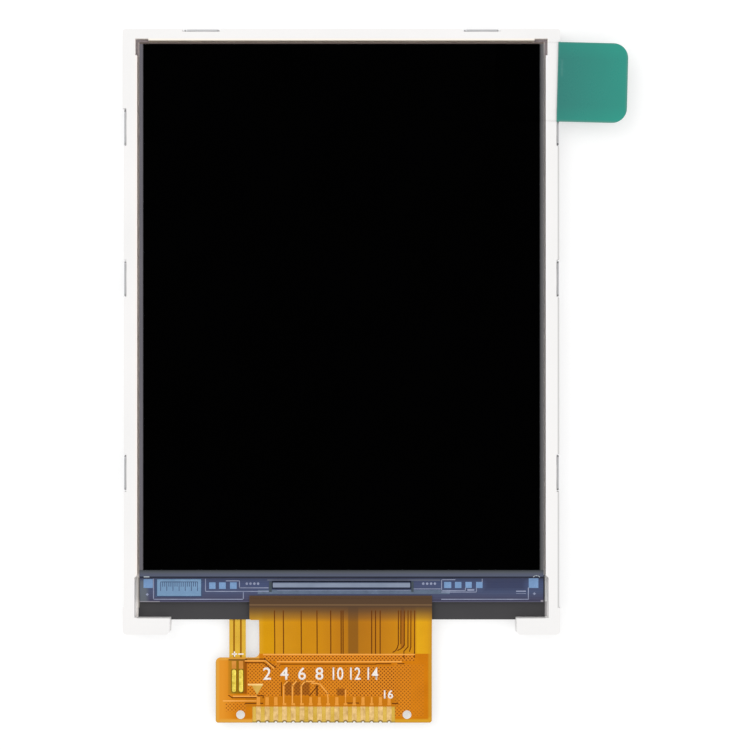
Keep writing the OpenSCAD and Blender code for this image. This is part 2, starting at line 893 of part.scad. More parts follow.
module pull_tab() {
    color("seagreen")
        at_pull_tab(front_z + film_t + carrier_t)
            linear_extrude(pull_t)
                rounded([0, -pull_l], [pull_w, 0], [0, pull_r, pull_r, 0]);
}

rear_tray();
frame();
reflector_sheet();
light_guide();
diffuser_sheet();
lower_prism_sheet();
upper_prism_sheet();
led(0);  // led_1
led(1);  // led_2
led(2);  // led_3
led(3);  // led_4
led_strip();
led_strip_tape();
rim_tape();
rear_polarizer();
array_glass();
filter_glass();
front_polarizer();
chip_bond_film();
driver_chip();
flex_bond_film();
main_flex();
flex_coverlay();
contact_fingers();
solder_joint(-1);  // solder_joint_anode
solder_joint(1);  // solder_joint_cathode
protective_film();
pull_tab_carrier();
pull_tab();
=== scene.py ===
import math
import bmesh
import bpy
from mathutils import Matrix, Vector
from mathutils.bvhtree import BVHTree


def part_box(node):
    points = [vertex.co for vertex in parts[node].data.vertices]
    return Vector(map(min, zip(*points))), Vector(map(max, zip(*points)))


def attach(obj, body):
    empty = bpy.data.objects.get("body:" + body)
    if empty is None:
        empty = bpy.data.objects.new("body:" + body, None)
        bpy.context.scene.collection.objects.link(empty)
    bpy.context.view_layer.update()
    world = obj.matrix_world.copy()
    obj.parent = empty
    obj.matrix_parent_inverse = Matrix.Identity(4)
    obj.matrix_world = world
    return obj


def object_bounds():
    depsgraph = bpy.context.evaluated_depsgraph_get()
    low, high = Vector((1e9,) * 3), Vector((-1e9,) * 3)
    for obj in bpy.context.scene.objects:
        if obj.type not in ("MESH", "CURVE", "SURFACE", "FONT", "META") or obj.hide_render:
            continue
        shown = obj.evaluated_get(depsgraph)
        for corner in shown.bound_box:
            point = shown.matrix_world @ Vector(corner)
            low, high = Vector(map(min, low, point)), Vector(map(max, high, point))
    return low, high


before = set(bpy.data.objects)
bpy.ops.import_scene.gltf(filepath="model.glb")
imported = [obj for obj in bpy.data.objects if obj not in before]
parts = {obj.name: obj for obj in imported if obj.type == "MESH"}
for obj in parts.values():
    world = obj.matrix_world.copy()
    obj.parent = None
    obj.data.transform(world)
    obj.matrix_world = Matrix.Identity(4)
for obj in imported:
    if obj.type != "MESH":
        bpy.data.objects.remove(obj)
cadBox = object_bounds()
mm = 0.001


def corners(name):  # low and high corner of a node, in millimetres
    low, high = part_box(name)
    return low / mm, high / mm


def tone(red, green, blue):  # display values 0 to 255 as a linear colour
    return tuple((c / 255 / 12.92) if c < 11 else ((c / 255 + 0.055) / 1.055) ** 2.4
                 for c in (red, green, blue)) + (1.0,)


arrayLow, arrayHigh = corners("array_glass")
filterLow, filterHigh = corners("filter_glass")
polarLow, polarHigh = corners("front_polarizer")
frameLow, frameHigh = corners("frame")
chipLow, chipHigh = corners("driver_chip")
flexLow, flexHigh = corners("main_flex")
filmLow, filmHigh = corners("protective_film")
tabLow, tabHigh = corners("pull_tab")
stripLow = corners("led_strip")[0]
flexPlace = Vector(((flexLow.x + flexHigh.x) / 2, flexLow.y, 0))  # middle of the wide end, at its foot
ledgePlace = Vector(((arrayLow.x + arrayHigh.x) / 2, arrayLow.y, 0))  # middle of the plate's lower edge
tabPlace = Vector(((tabLow.x + tabHigh.x) / 2, (tabLow.y + tabHigh.y) / 2, 0))  # middle of the pull tab

view = {"x": 3.83, "y": -4.92, "height": 240.2, "lens": 100.0, "sensor": 36.0, "near": 0.01}
camera = bpy.data.objects.new("camera", bpy.data.cameras.new("camera"))
bpy.context.scene.collection.objects.link(camera)
camera.data.lens = view["lens"]
camera.data.sensor_width = view["sensor"]
camera.data.clip_start = view["near"]
camera.location = Vector((view["x"], view["y"], view["height"])) * mm  # it looks straight down
bpy.context.scene.camera = camera
bpy.context.scene.view_settings.view_transform = "Standard"
print("camera set")


def put(tree, kind, inputs=None, **settings):  # one shader node, its settings, its values and links
    item = tree.nodes.new("ShaderNode" + kind)
    for key, value in settings.items():
        setattr(item, key, value)
    for key, value in (inputs or {}).items():
        if isinstance(value, bpy.types.NodeSocket):
            tree.links.new(value, item.inputs[key])
        else:
            item.inputs[key].default_value = value
    return item


def calc(tree, operation, first, second=0.0, clamp=False):
    return put(tree, "Math", {0: first, 1: second}, operation=operation, use_clamp=clamp).outputs[0]


def axesOf(tree, vector):
    return put(tree, "SeparateXYZ", {0: vector}).outputs


def spread(tree, value, low, high, first=0.0, last=1.0):  # value from low to high as first to last
    return put(tree, "MapRange", {0: value, 1: low, 2: high, 3: first, 4: last}).outputs[0]


def blend(tree, factor, first, second):
    return put(tree, "Mix", {0: factor, 6: first, 7: second}, data_type="RGBA").outputs[2]


def tint(tree, look, mask, colour, share=1.0):  # lays a colour over the look where the mask is 1
    if share < 1.0:
        mask = calc(tree, "MULTIPLY", mask, share)
    return blend(tree, mask, look, colour)


def ramp(tree, factor, stops):
    item = put(tree, "ValToRGB", {0: factor})
    band = item.color_ramp
    while len(band.elements) < len(stops):
        band.elements.new(1.0)
    for element, (position, colour) in zip(band.elements, stops):
        element.position = position
        element.color = colour
    return item.outputs["Color"]


def greyRamp(tree, factor, stops):
    return ramp(tree, factor, [(position, (grey, grey, grey, 1)) for position, grey in stops])


def setPlain(shader, **values):  # values that are alike all over the surface
    for key, value in values.items():
        shader.inputs[key.replace("_", " ")].default_value = value


def feed(tree, shader, **sockets):  # values that change over the surface
    for key, value in sockets.items():
        tree.links.new(value, shader.inputs[key.replace("_", " ")])


backdrop = {"ambient": 0.76, "floorWhite": (0.62, 0.62, 0.62, 1.0), "floorLift": 0.47,
            "floorSize": 1.2, "floorDrop": 0.02}  # half its side in metres, millimetres below the tray


def seenDirectly(tree):  # 1 where the eye, a mirror or a glass looks at it
    path = put(tree, "LightPath")
    seen = calc(tree, "MAXIMUM", path.outputs["Is Camera Ray"], path.outputs["Is Glossy Ray"])
    return calc(tree, "MAXIMUM", seen, path.outputs["Is Transmission Ray"])


def makeWorld():
    world = bpy.data.worlds.new("studio")
    bpy.context.scene.world = world
    world.use_nodes = True
    tree = world.node_tree
    ground = tree.nodes["Background"]
    setPlain(ground, Color=(1, 1, 1, 1))
    feed(tree, ground, Strength=spread(tree, seenDirectly(tree), 0.0, 1.0, backdrop["ambient"], 1.0))


def makeFloor():
    bm = bmesh.new()
    bmesh.ops.create_grid(bm, x_segments=1, y_segments=1, size=backdrop["floorSize"])
    bmesh.ops.translate(bm, vec=(0, 0, -backdrop["floorDrop"] * mm), verts=bm.verts)
    mesh = bpy.data.meshes.new("floor")
    bm.to_mesh(mesh)
    bm.free()
    floor = bpy.data.objects.new("floor", mesh)
    bpy.context.scene.collection.objects.link(floor)
    material = bpy.data.materials.new("floorWhite")
    material.use_nodes = True
    tree = material.node_tree
    tree.nodes.clear()
    matte = put(tree, "BsdfDiffuse", {"Color": backdrop["floorWhite"]})
    lift = calc(tree, "MULTIPLY", seenDirectly(tree), backdrop["floorLift"])
    glow = put(tree, "Emission", {"Color": (1, 1, 1, 1), "Strength": lift})
    both = put(tree, "AddShader", {0: matte.outputs[0], 1: glow.outputs[0]})
    put(tree, "OutputMaterial", {"Surface": both.outputs[0]})
    mesh.materials.append(material)


softLights = {
    "keyLight": {"at": (-330, 260, 420), "size": 0.5, "power": 0.85},
    "fillLight": {"at": (380, -180, 380), "size": 0.6, "power": 0.6},
}


def makeLights():
    aim = (Vector(cadBox[0]) + Vector(cadBox[1])) / 2
    for name, lamp in softLights.items():
        data = bpy.data.lights.new(name, "AREA")
        data.shape = "SQUARE"
        data.size = lamp["size"]
        data.energy = lamp["power"]
        lightObject = bpy.data.objects.new(name, data)
        bpy.context.scene.collection.objects.link(lightObject)
        lightObject.location = Vector(lamp["at"]) * mm
        lightObject.rotation_mode = "QUATERNION"
        lightObject.rotation_quaternion = (aim - lightObject.location).to_track_quat("-Z", "Y")


makeWorld()
makeFloor()
makeLights()
print("floor and lights set")


def newGroup(name, inputs, outputs):
    group = bpy.data.node_groups.new(name, "ShaderNodeTree")
    for label, kind, value in inputs:
        socket = group.interface.new_socket(label, in_out="INPUT", socket_type="NodeSocket" + kind)
        socket.default_value = value
    for label, kind in outputs:
        group.interface.new_socket(label, in_out="OUTPUT", socket_type="NodeSocket" + kind)
    return group, group.nodes.new("NodeGroupInput").outputs, group.nodes.new("NodeGroupOutput").inputs


def makeGrain():  # fine surface grain with slow cloudiness over it
    group, given, result = newGroup("fineGrain", [
        ("Vector", "Vector", (0, 0, 0)), ("Fine", "Float", 20.0), ("Slow", "Float", 0.15),
        ("Stretch", "Vector", (1, 1, 1))], [("Tone", "Float"), ("Height", "Float")])
    spot = put(group, "VectorMath", {0: given["Vector"], 1: given["Stretch"]}, operation="MULTIPLY")
    fine = put(group, "TexNoise", {"Vector": spot.outputs[0], "Scale": given["Fine"], "Detail": 3.0})
    slow = put(group, "TexNoise", {"Vector": given["Vector"], "Scale": given["Slow"], "Detail": 2.0})
    fineShare = 0.35
    group.links.new(calc(group, "ADD", calc(group, "MULTIPLY", fine.outputs[0], fineShare),
                         calc(group, "MULTIPLY", slow.outputs[0], 1.0 - fineShare)), result["Tone"])
    group.links.new(fine.outputs[0], result["Height"])
    return group


def makeZone():  # 1 inside a rectangle, with soft borders
    group, given, result = newGroup("zone", [
        ("Vector", "Vector", (0, 0, 0)), ("Low", "Vector", (0, 0, 0)), ("High", "Vector", (1, 1, 1)),
        ("Soft", "Float", 0.03)], [("Mask", "Float")])
    above = axesOf(group, put(group, "VectorMath", {0: given["Vector"], 1: given["Low"]},
                              operation="SUBTRACT").outputs[0])
    below = axesOf(group, put(group, "VectorMath", {0: given["High"], 1: given["Vector"]},
                              operation="SUBTRACT").outputs[0])
    nearest = calc(group, "MINIMUM", calc(group, "MINIMUM", above[0], below[0]),
                   calc(group, "MINIMUM", above[1], below[1]))
    inside = calc(group, "ADD", calc(group, "DIVIDE", nearest, given["Soft"]), 0.5, clamp=True)
    group.links.new(inside, result["Mask"])
    return group


def makeHatch():  # diamonds left open by two sets of crossing lines
    group, given, result = newGroup("hatch", [
        ("Vector", "Vector", (0, 0, 0)), ("Pitch", "Float", 0.33), ("Line", "Float", 0.4)],
        [("Mask", "Float")])
    axes = axesOf(group, given["Vector"])
    period = calc(group, "MULTIPLY", given["Pitch"], 1.4142)  # x plus y for one step across the lines
    sharpness = 8.0
    sides = []
    for operation in ("ADD", "SUBTRACT"):
        diagonal = calc(group, operation, axes[0], axes[1])
        along = calc(group, "FRACT", calc(group, "DIVIDE", diagonal, period))
        middle = calc(group, "ABSOLUTE", calc(group, "SUBTRACT", along, 0.5))
        edge = calc(group, "SUBTRACT", 0.5, calc(group, "MULTIPLY", given["Line"], 0.5))
        sides.append(calc(group, "MULTIPLY", calc(group, "SUBTRACT", edge, middle), sharpness,
                          clamp=True))
    group.links.new(calc(group, "MULTIPLY", sides[0], sides[1]), result["Mask"])
    return group


effects = {"grain": makeGrain(), "zone": makeZone(), "hatch": makeHatch()}


def effect(tree, name, inputs):
    return put(tree, "Group", inputs, node_tree=effects[name]).outputs


def zone(tree, spot, x0, x1, y0, y1, soft=0.05):
    return effect(tree, "zone", {"Vector": spot, "Low": (x0, y0, 0), "High": (x1, y1, 0),
                                 "Soft": soft})["Mask"]


def tintPatches(tree, spot, look, patches):  # each patch is x0, x1, y0, y1, softness, share and colour
    for x0, x1, y0, y1, soft, share, colour in patches:
        look = tint(tree, look, zone(tree, spot, x0, x1, y0, y1, soft), colour, share)
    return look


def placeIn(tree, origin, turn):  # millimetres from an origin on the part
    spot = put(tree, "TexCoord").outputs["Object"]
    shift = Vector(origin)
    shift.rotate(Matrix.Rotation(turn, 3, "Z"))
    return put(tree, "Mapping", {"Vector": spot, "Location": -shift, "Rotation": (0, 0, turn),
                                 "Scale": (1 / mm, 1 / mm, 1 / mm)}).outputs[0]


def startSurface(name, fine, slow, stretch=(1, 1, 1), origin=(0, 0, 0), turn=0.0):  # with its grain
    material = bpy.data.materials.new(name)
    material.use_nodes = True
    tree = material.node_tree
    spot = placeIn(tree, origin, turn)
    grain = effect(tree, "grain", {"Vector": spot, "Fine": fine, "Slow": slow, "Stretch": stretch})
    return material, tree, tree.nodes["Principled BSDF"], spot, grain


def cloudOf(tree, grain, first=0.0, last=1.0):  # the grain's usual reach as first to last
    return spread(tree, grain["Tone"], 0.3, 0.7, first, last)


def roughOf(tree, value, low, high):  # a value from 0 to 1 as roughness from low to high
    return spread(tree, value, 0.0, 1.0, low, high)


def relief(tree, shader, height, depth, strength=1.0):  # depth in millimetres
    bump = put(tree, "Bump", {"Height": height, "Distance": depth * mm, "Strength": strength})
    feed(tree, shader, Normal=bump.outputs[0])


def upward(tree):
    return axesOf(tree, put(tree, "NewGeometry").outputs["Normal"])[2]


def upright(tree):  # 1 on faces that stand upright
    return calc(tree, "LESS_THAN", calc(tree, "ABSOLUTE", upward(tree)), 0.5)


def paint(name, material):
    parts[name].data.materials.clear()
    parts[name].data.materials.append(material)


def grainy(name, dark, light, fine=20.0, slow=0.15, stretch=(1, 1, 1), depth=0.0008,
           rough=(0.4, 0.5), **plain):  # a film or moulding with a cloudy tone and fine grain
    material, tree, shader, _, grain = startSurface(name, fine, slow, stretch)
    feed(tree, shader, Base_Color=blend(tree, cloudOf(tree, grain), dark, light),
         Roughness=cloudOf(tree, grain, *rough))
    relief(tree, shader, grain["Height"], depth)
    setPlain(shader, **plain)
    return material


framePlastic = {
    "white": tone(250, 248, 247), "shade": tone(244, 243, 242),
    "wall": 23.35, "top": 33.3, "lowerBar": 2.0,  # the pocket's inner sides, and the bar below it
    # painted highlights along the pocket's inner edges, and painted shade low on its right side
    "edgeWidth": 0.2, "edgeSoft": 0.1, "leftHighlight": tone(255, 249, 244), "rightHighlight": tone(250, 249, 249),
    "topHighlight": tone(255, 247, 236), "topHighlightFrom": 33.0, "lowShade": tone(178, 175, 176),
    "corner": tone(206, 196, 200), "cornerAt": 22.85, "cornerHalf": 0.75, "cornerSpan": (31.5, 33.6),
    "cornerBelow": 1.5,
    # painted shade along the right outer edge
    "outerShade": (frameHigh.x - 0.32, frameHigh.x, -31.5, 25.3, 0.06, 0.9, tone(206, 205, 204)),
}


def makeFramePlastic():
    colours = framePlastic
    material, tree, shader, spot, grain = startSurface("framePlastic", fine=9.0, slow=0.1)
    axes = axesOf(tree, spot)
    base = blend(tree, cloudOf(tree, grain), colours["shade"], colours["white"])
    onRight = calc(tree, "GREATER_THAN", axes[0], 0.0)
    # painted highlights along the pocket's inner edges, with painted shade low on the right
    edge = blend(tree, onRight, colours["leftHighlight"], colours["rightHighlight"])
    edge = tint(tree, edge, calc(tree, "GREATER_THAN", axes[1], colours["topHighlightFrom"]),
                colours["topHighlight"])
    lowRight = calc(tree, "MULTIPLY", onRight, calc(tree, "LESS_THAN", axes[1], arrayLow.y))
    edge = tint(tree, edge, lowRight, colours["lowShade"])
    reach = colours["wall"] + colours["edgeWidth"]
    inner = zone(tree, spot, -reach, reach, frameLow.y + colours["lowerBar"],
                 colours["top"] + colours["edgeWidth"], colours["edgeSoft"])
    look = blend(tree, inner, base, edge)
    deep = calc(tree, "LESS_THAN", axes[2], colours["cornerBelow"])
    half = colours["cornerHalf"]
    for x in (-colours["cornerAt"], colours["cornerAt"]):  # reliefs at the upper corners lie in shade
        corner = zone(tree, spot, x - half, x + half, *colours["cornerSpan"])
        look = tint(tree, look, calc(tree, "MULTIPLY", corner, deep), colours["corner"])
    # painted shade along the right outer edge
    look = tintPatches(tree, spot, look, [colours["outerShade"]])
    feed(tree, shader, Base_Color=look, Roughness=roughOf(tree, grain["Height"], 0.38, 0.55))
    relief(tree, shader, grain["Height"], depth=0.004, strength=0.6)
    setPlain(shader, IOR=1.46)
    return material


paint("frame", makeFramePlastic())

traySteel = {"dark": (0.56, 0.56, 0.57, 1), "light": (0.74, 0.74, 0.75, 1), "cut": (0.5, 0.5, 0.51, 1),
             "cutFrom": 0.4}  # upward faces above this height are the folded tabs' sheared edges


def makeTraySteel():
    material, tree, shader, spot, grain = startSurface("traySteel", fine=2.5, slow=0.2,
                                                       stretch=(8, 0.4, 2))
    base = blend(tree, cloudOf(tree, grain), traySteel["dark"], traySteel["light"])
    cut = calc(tree, "MULTIPLY", calc(tree, "GREATER_THAN", upward(tree), 0.7),
               calc(tree, "GREATER_THAN", axesOf(tree, spot)[2], traySteel["cutFrom"]))
    feed(tree, shader, Base_Color=tint(tree, base, cut, traySteel["cut"]),
         Roughness=cloudOf(tree, grain, 0.24, 0.4))
    relief(tree, shader, grain["Height"], depth=0.001)
    setPlain(shader, Metallic=1.0)
    return material


paint("rear_tray", makeTraySteel())
print("frame and tray dressed")

rimLook = {
    "dark": tone(44, 43, 46), "light": tone(54, 52, 54),
    "gapLight": [  # pale where the white seat shows beside the glass, with painted light lifting the shaded gap: right, lower left and left
        (23.1, 24.0, filterLow.y + 0.2, 40.0, 0.05, 1.0, tone(240, 238, 236)),
        (-24.0, -23.18, -31.6, 40.0, 0.05, 1.0, tone(150, 143, 134)),
        (-24.0, -23.1, filterLow.y - 0.1, 40.0, 0.1, 1.0, tone(250, 240, 236))],
    # painted highlight along the top of the pocket
    "topHighlight": tone(248, 240, 228), "topHighlightFrom": 33.1,
}


def makeRimTape():  # the dark core shows at the foot; beside the glass and at the top, painted light makes the gap pale
    material, tree, shader, spot, grain = startSurface("rimTape", fine=14.0, slow=0.3)
    look = blend(tree, cloudOf(tree, grain), rimLook["dark"], rimLook["light"])
    look = tintPatches(tree, spot, look, rimLook["gapLight"])
    # painted highlight along the top
    atTop = calc(tree, "GREATER_THAN", axesOf(tree, spot)[1], rimLook["topHighlightFrom"])
    feed(tree, shader, Base_Color=tint(tree, look, atTop, rimLook["topHighlight"]),
         Roughness=roughOf(tree, grain["Tone"], 0.55, 0.7))
    relief(tree, shader, grain["Height"], depth=0.003)
    return material


paint("rim_tape", makeRimTape())
polarizer = grainy("polarizerFilm", (0.0002, 0.0002, 0.0002, 1), (0.0004, 0.0004, 0.0005, 1), fine=30.0,
                   depth=0.0003, rough=(0.16, 0.22), IOR=1.025)
paint("front_polarizer", polarizer)
paint("rear_polarizer", polarizer)

groundEdge = tone(242, 236, 230)  # the plates' cut edges, frosted pale and painted paler still as light in the narrow gaps beside the glass
filterLook = {
    "left": tone(110, 107, 114), "rightInner": tone(66, 66, 68), "rightOuter": tone(110, 109, 110),
    "top": tone(106, 92, 86), "topSoft": 0.05, "sideFade": 20.0,
    "foot": [  # from the plate's lower edge up to the polarizer
        (0.0, tone(8, 12, 34)), (0.07, tone(10, 16, 38)), (0.15, tone(76, 84, 106)),
        (0.28, tone(88, 94, 114)), (0.4, tone(82, 88, 108)), (0.56, tone(86, 90, 104)),
        (0.7, tone(80, 86, 94)), (1.0, tone(64, 68, 72))],
    "footSoft": 0.02, "haze": tone(60, 62, 70), "hazeShare": 0.16,
}


def makeFilterGlass():
    colours = filterLook
    material, tree, shader, spot, grain = startSurface("filterGlass", fine=6.0, slow=0.12)
    axes = axesOf(tree, spot)
    right = blend(tree, spread(tree, axes[0], polarHigh.x, filterHigh.x), colours["rightInner"],
                  colours["rightOuter"])
    side = blend(tree, spread(tree, axes[0], -colours["sideFade"], colours["sideFade"]),
                 colours["left"], right)
    soft = colours["topSoft"]
    side = tint(tree, side, spread(tree, axes[1], polarHigh.y - soft, polarHigh.y + soft),
                colours["top"])
    foot = ramp(tree, spread(tree, axes[1], filterLow.y, polarLow.y), colours["foot"])
    soft = colours["footSoft"]
    look = tint(tree, side, spread(tree, axes[1], polarLow.y + soft, polarLow.y - soft), foot)
    look = tint(tree, look, spread(tree, grain["Tone"], 0.35, 0.65), colours["haze"],
                colours["hazeShare"])
    look = tint(tree, look, upright(tree), groundEdge)
    feed(tree, shader, Base_Color=look, Roughness=roughOf(tree, grain["Tone"], 0.04, 0.12))
    setPlain(shader, IOR=1.3)
    return material


ledgeLook = {
    "across": [  # from the plate's lower edge up to the upper plate; the pale first stop is a painted highlight along the lower edge
        (0.0, tone(112, 110, 132)), (0.035, tone(42, 38, 66)), (0.1, tone(58, 58, 86)),
        (0.4, tone(62, 76, 110)), (0.7, tone(56, 72, 112)), (0.92, tone(50, 64, 98)),
        (0.96, tone(20, 32, 56)), (1.0, tone(8, 14, 36))],
    "cloud": tone(70, 68, 96), "cloudShare": 0.5,
    "trace": tone(116, 124, 156), "traceShare": 0.1, "tracePitch": 0.19, "traceWidth": 0.35,
    "patches": [
        (16.4, 21.0, 1.35, 2.7, 0.7, 0.6, tone(36, 42, 74)),  # deeper round the right squares
        (-23.2, -22.2, -0.2, 2.5, 0.5, 0.7, tone(104, 112, 116)),  # paler at the left end
        (-8.5, 11.3, 2.43, 2.58, 0.06, 1.0, tone(96, 102, 122)),  # line above the chip
        (-23.2, -20.8, -0.1, 0.1, 0.06, 0.8, tone(152, 148, 158)),  # painted highlights on the bevels at the plate's corners
        (22.8, 23.2, -0.1, 0.22, 0.06, 0.8, tone(152, 148, 158))],
    "side": tone(90, 104, 116),
}


def makeArrayGlass():
    colours = ledgeLook
    material, tree, shader, spot, grain = startSurface("arrayGlass", fine=5.0, slow=0.35,
                                                       stretch=(0.4, 2, 1), origin=ledgePlace)
    axes = axesOf(tree, spot)
    ledgeLength = filterLow.y - arrayLow.y
    # its first stop is a painted highlight along the plate's lower edge
    look = ramp(tree, spread(tree, axes[1], 0.0, ledgeLength), colours["across"])
    look = tint(tree, look, cloudOf(tree, grain), colours["cloud"], colours["cloudShare"])
    lines = calc(tree, "FRACT", calc(tree, "DIVIDE", axes[1], colours["tracePitch"]))
    look = tint(tree, look, calc(tree, "LESS_THAN", lines, colours["traceWidth"]), colours["trace"],
                colours["traceShare"])
    look = tintPatches(tree, spot, look, colours["patches"])
    side = blend(tree, calc(tree, "GREATER_THAN", axes[1], ledgeLength), colours["side"], groundEdge)
    look = tint(tree, look, upright(tree), side)
    feed(tree, shader, Base_Color=look, Roughness=roughOf(tree, grain["Tone"], 0.05, 0.16))
    relief(tree, shader, lines, depth=0.0006, strength=0.3)
    setPlain(shader, IOR=1.35)
    return material


paint("filter_glass", makeFilterGlass())
paint("array_glass", makeArrayGlass())
# the chip's bond film is painted dark navy, as painted shade in the gap round the chip
paint("chip_bond_film", grainy("chipBondShade", tone(6, 14, 34), tone(16, 26, 48), fine=12.0,
                               rough=(0.3, 0.45), IOR=1.2))
paint("flex_bond_film", grainy("flexBond", tone(92, 84, 74), tone(120, 108, 92), fine=12.0,
                               rough=(0.35, 0.5)))

# the pale blue-grey back is painted reflection, and the dark bands along its long sides are painted shade
chipLook = {"middle": tone(138, 149, 172), "deep": tone(122, 134, 156), "edge": tone(30, 42, 70),
            "shadeShares": [(0.0, 1.0), (0.1, 1.0), (0.18, 0.0), (0.8, 0.0), (0.88, 0.8), (1.0, 0.8)]}


def makeChipSilicon():
    material, tree, shader, spot, grain = startSurface("chipSilicon", fine=7.0, slow=0.5,
                                                       stretch=(0.3, 3, 1))
    # painted reflection on the polished back
    back = blend(tree, cloudOf(tree, grain), chipLook["deep"], chipLook["middle"])
    across = spread(tree, axesOf(tree, spot)[1], chipLow.y, chipHigh.y)
    # painted shade along the chip's long sides
    edge = greyRamp(tree, across, chipLook["shadeShares"])
    feed(tree, shader, Base_Color=tint(tree, back, edge, chipLook["edge"]),
         Roughness=roughOf(tree, grain["Tone"], 0.12, 0.24))
    relief(tree, shader, grain["Height"], depth=0.0005)
    setPlain(shader, IOR=1.4)
    return material


paint("driver_chip", makeChipSilicon())
print("glass and films dressed")


def surfaceOf(*names):  # for finding the height of a surface from above
    points, faces = [], []
    for name in names:
        mesh = parts[name].data
        start = len(points)
        points += [v.co.copy() for v in mesh.vertices]
        faces += [[start + i for i in polygon.vertices] for polygon in mesh.polygons]
    return BVHTree.FromPolygons(points, faces)


# where marks are laid: the point they are measured from, the surface below them, and the finish slot
onLedge = {"place": ledgePlace, "surface": surfaceOf("array_glass"), "slot": "array_glass"}
onUpperPlate = {"place": ledgePlace, "surface": surfaceOf("filter_glass"), "slot": "filter_glass"}
onFlex = {"place": flexPlace, "surface": surfaceOf("main_flex", "flex_coverlay"), "slot": "flex_cover"}
onTail = {"place": Vector((0, stripLow.y, 0)), "surface": surfaceOf("led_strip"), "slot": "strip_flex"}
onTailEnd = {**onTail, "place": flexPlace}


def layOn(bm, surface, lift):  # drops every corner on the surface below it
    above, down = 0.01, Vector((0, 0, -1))
    for corner in bm.verts:
        hit = surface.ray_cast(Vector((corner.co.x, corner.co.y, above)), down)[0]
        if hit is not None:
            corner.co.z = hit.z + lift * mm


def addBar(bm, place, start, end, width):  # flat strip between two points, cut so that it can bend
    start, end = Vector(start), Vector(end)
    length = (end - start).length
    pieceLength = 0.4
    steps = max(1, round(length / pieceLength))
    made = bmesh.ops.create_grid(bm, x_segments=steps, y_segments=1, size=0.5)["verts"]
    bmesh.ops.scale(bm, vec=((length + width) * mm, width * mm, 1), verts=made)
    turn = math.atan2(end.y - start.y, end.x - start.x)
    bmesh.ops.rotate(bm, matrix=Matrix.Rotation(turn, 3, "Z"), verts=made)
    middle = (start + end) / 2
    bmesh.ops.translate(bm, vec=((place.x + middle.x) * mm, (place.y + middle.y) * mm, 0), verts=made)


def addPatch(bm, place, x0, x1, y0, y1):  # flat rectangle
    made = bmesh.ops.create_grid(bm, x_segments=1, y_segments=1, size=0.5)["verts"]
    bmesh.ops.scale(bm, vec=((x1 - x0) * mm, (y1 - y0) * mm, 1), verts=made)
    bmesh.ops.translate(bm, vec=((place.x + (x0 + x1) / 2) * mm, (place.y + (y0 + y1) / 2) * mm, 0),
                        verts=made)


def addDisc(bm, place, x, y, radius, segments=20, turn=0.0):
    made = bmesh.ops.create_circle(bm, cap_ends=True, segments=segments, radius=radius * mm)["verts"]
    bmesh.ops.rotate(bm, matrix=Matrix.Rotation(turn, 3, "Z"), verts=made)
    bmesh.ops.translate(bm, vec=((place.x + x) * mm, (place.y + y) * mm, 0), verts=made)


def finishMarks(name, bm, site, material, thick=0.006, lift=0.003):  # lays them and makes them a piece
    layOn(bm, site["surface"], lift)
    bmesh.ops.recalc_face_normals(bm, faces=bm.faces)
    for face in bm.faces:
        if face.normal.z < 0:
            face.normal_flip()
    mesh = bpy.data.meshes.new(name)
    bm.to_mesh(mesh)
    bm.free()
    made = bpy.data.objects.new(name, mesh)
    bpy.context.scene.collection.objects.link(made)
    mesh.materials.append(material)
    skin = made.modifiers.new("thickness", "SOLIDIFY")
    skin.thickness = thick * mm
    skin.offset = 1.0
    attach(made, "root")


def layMarks(name, site, material, patches=(), runs=(), width=0.0, discs=(), radius=0.0, **finish):
    bm = bmesh.new()
    for points in runs:  # strips from point to point, all of one width
        for start, end in zip(points, points[1:]):
            addBar(bm, site["place"], start, end, width)
    for patch in patches:
        addPatch(bm, site["place"], *patch)
    for x, y in discs:
        addDisc(bm, site["place"], x, y, radius)
    finishMarks(name, bm, site, material, **finish)


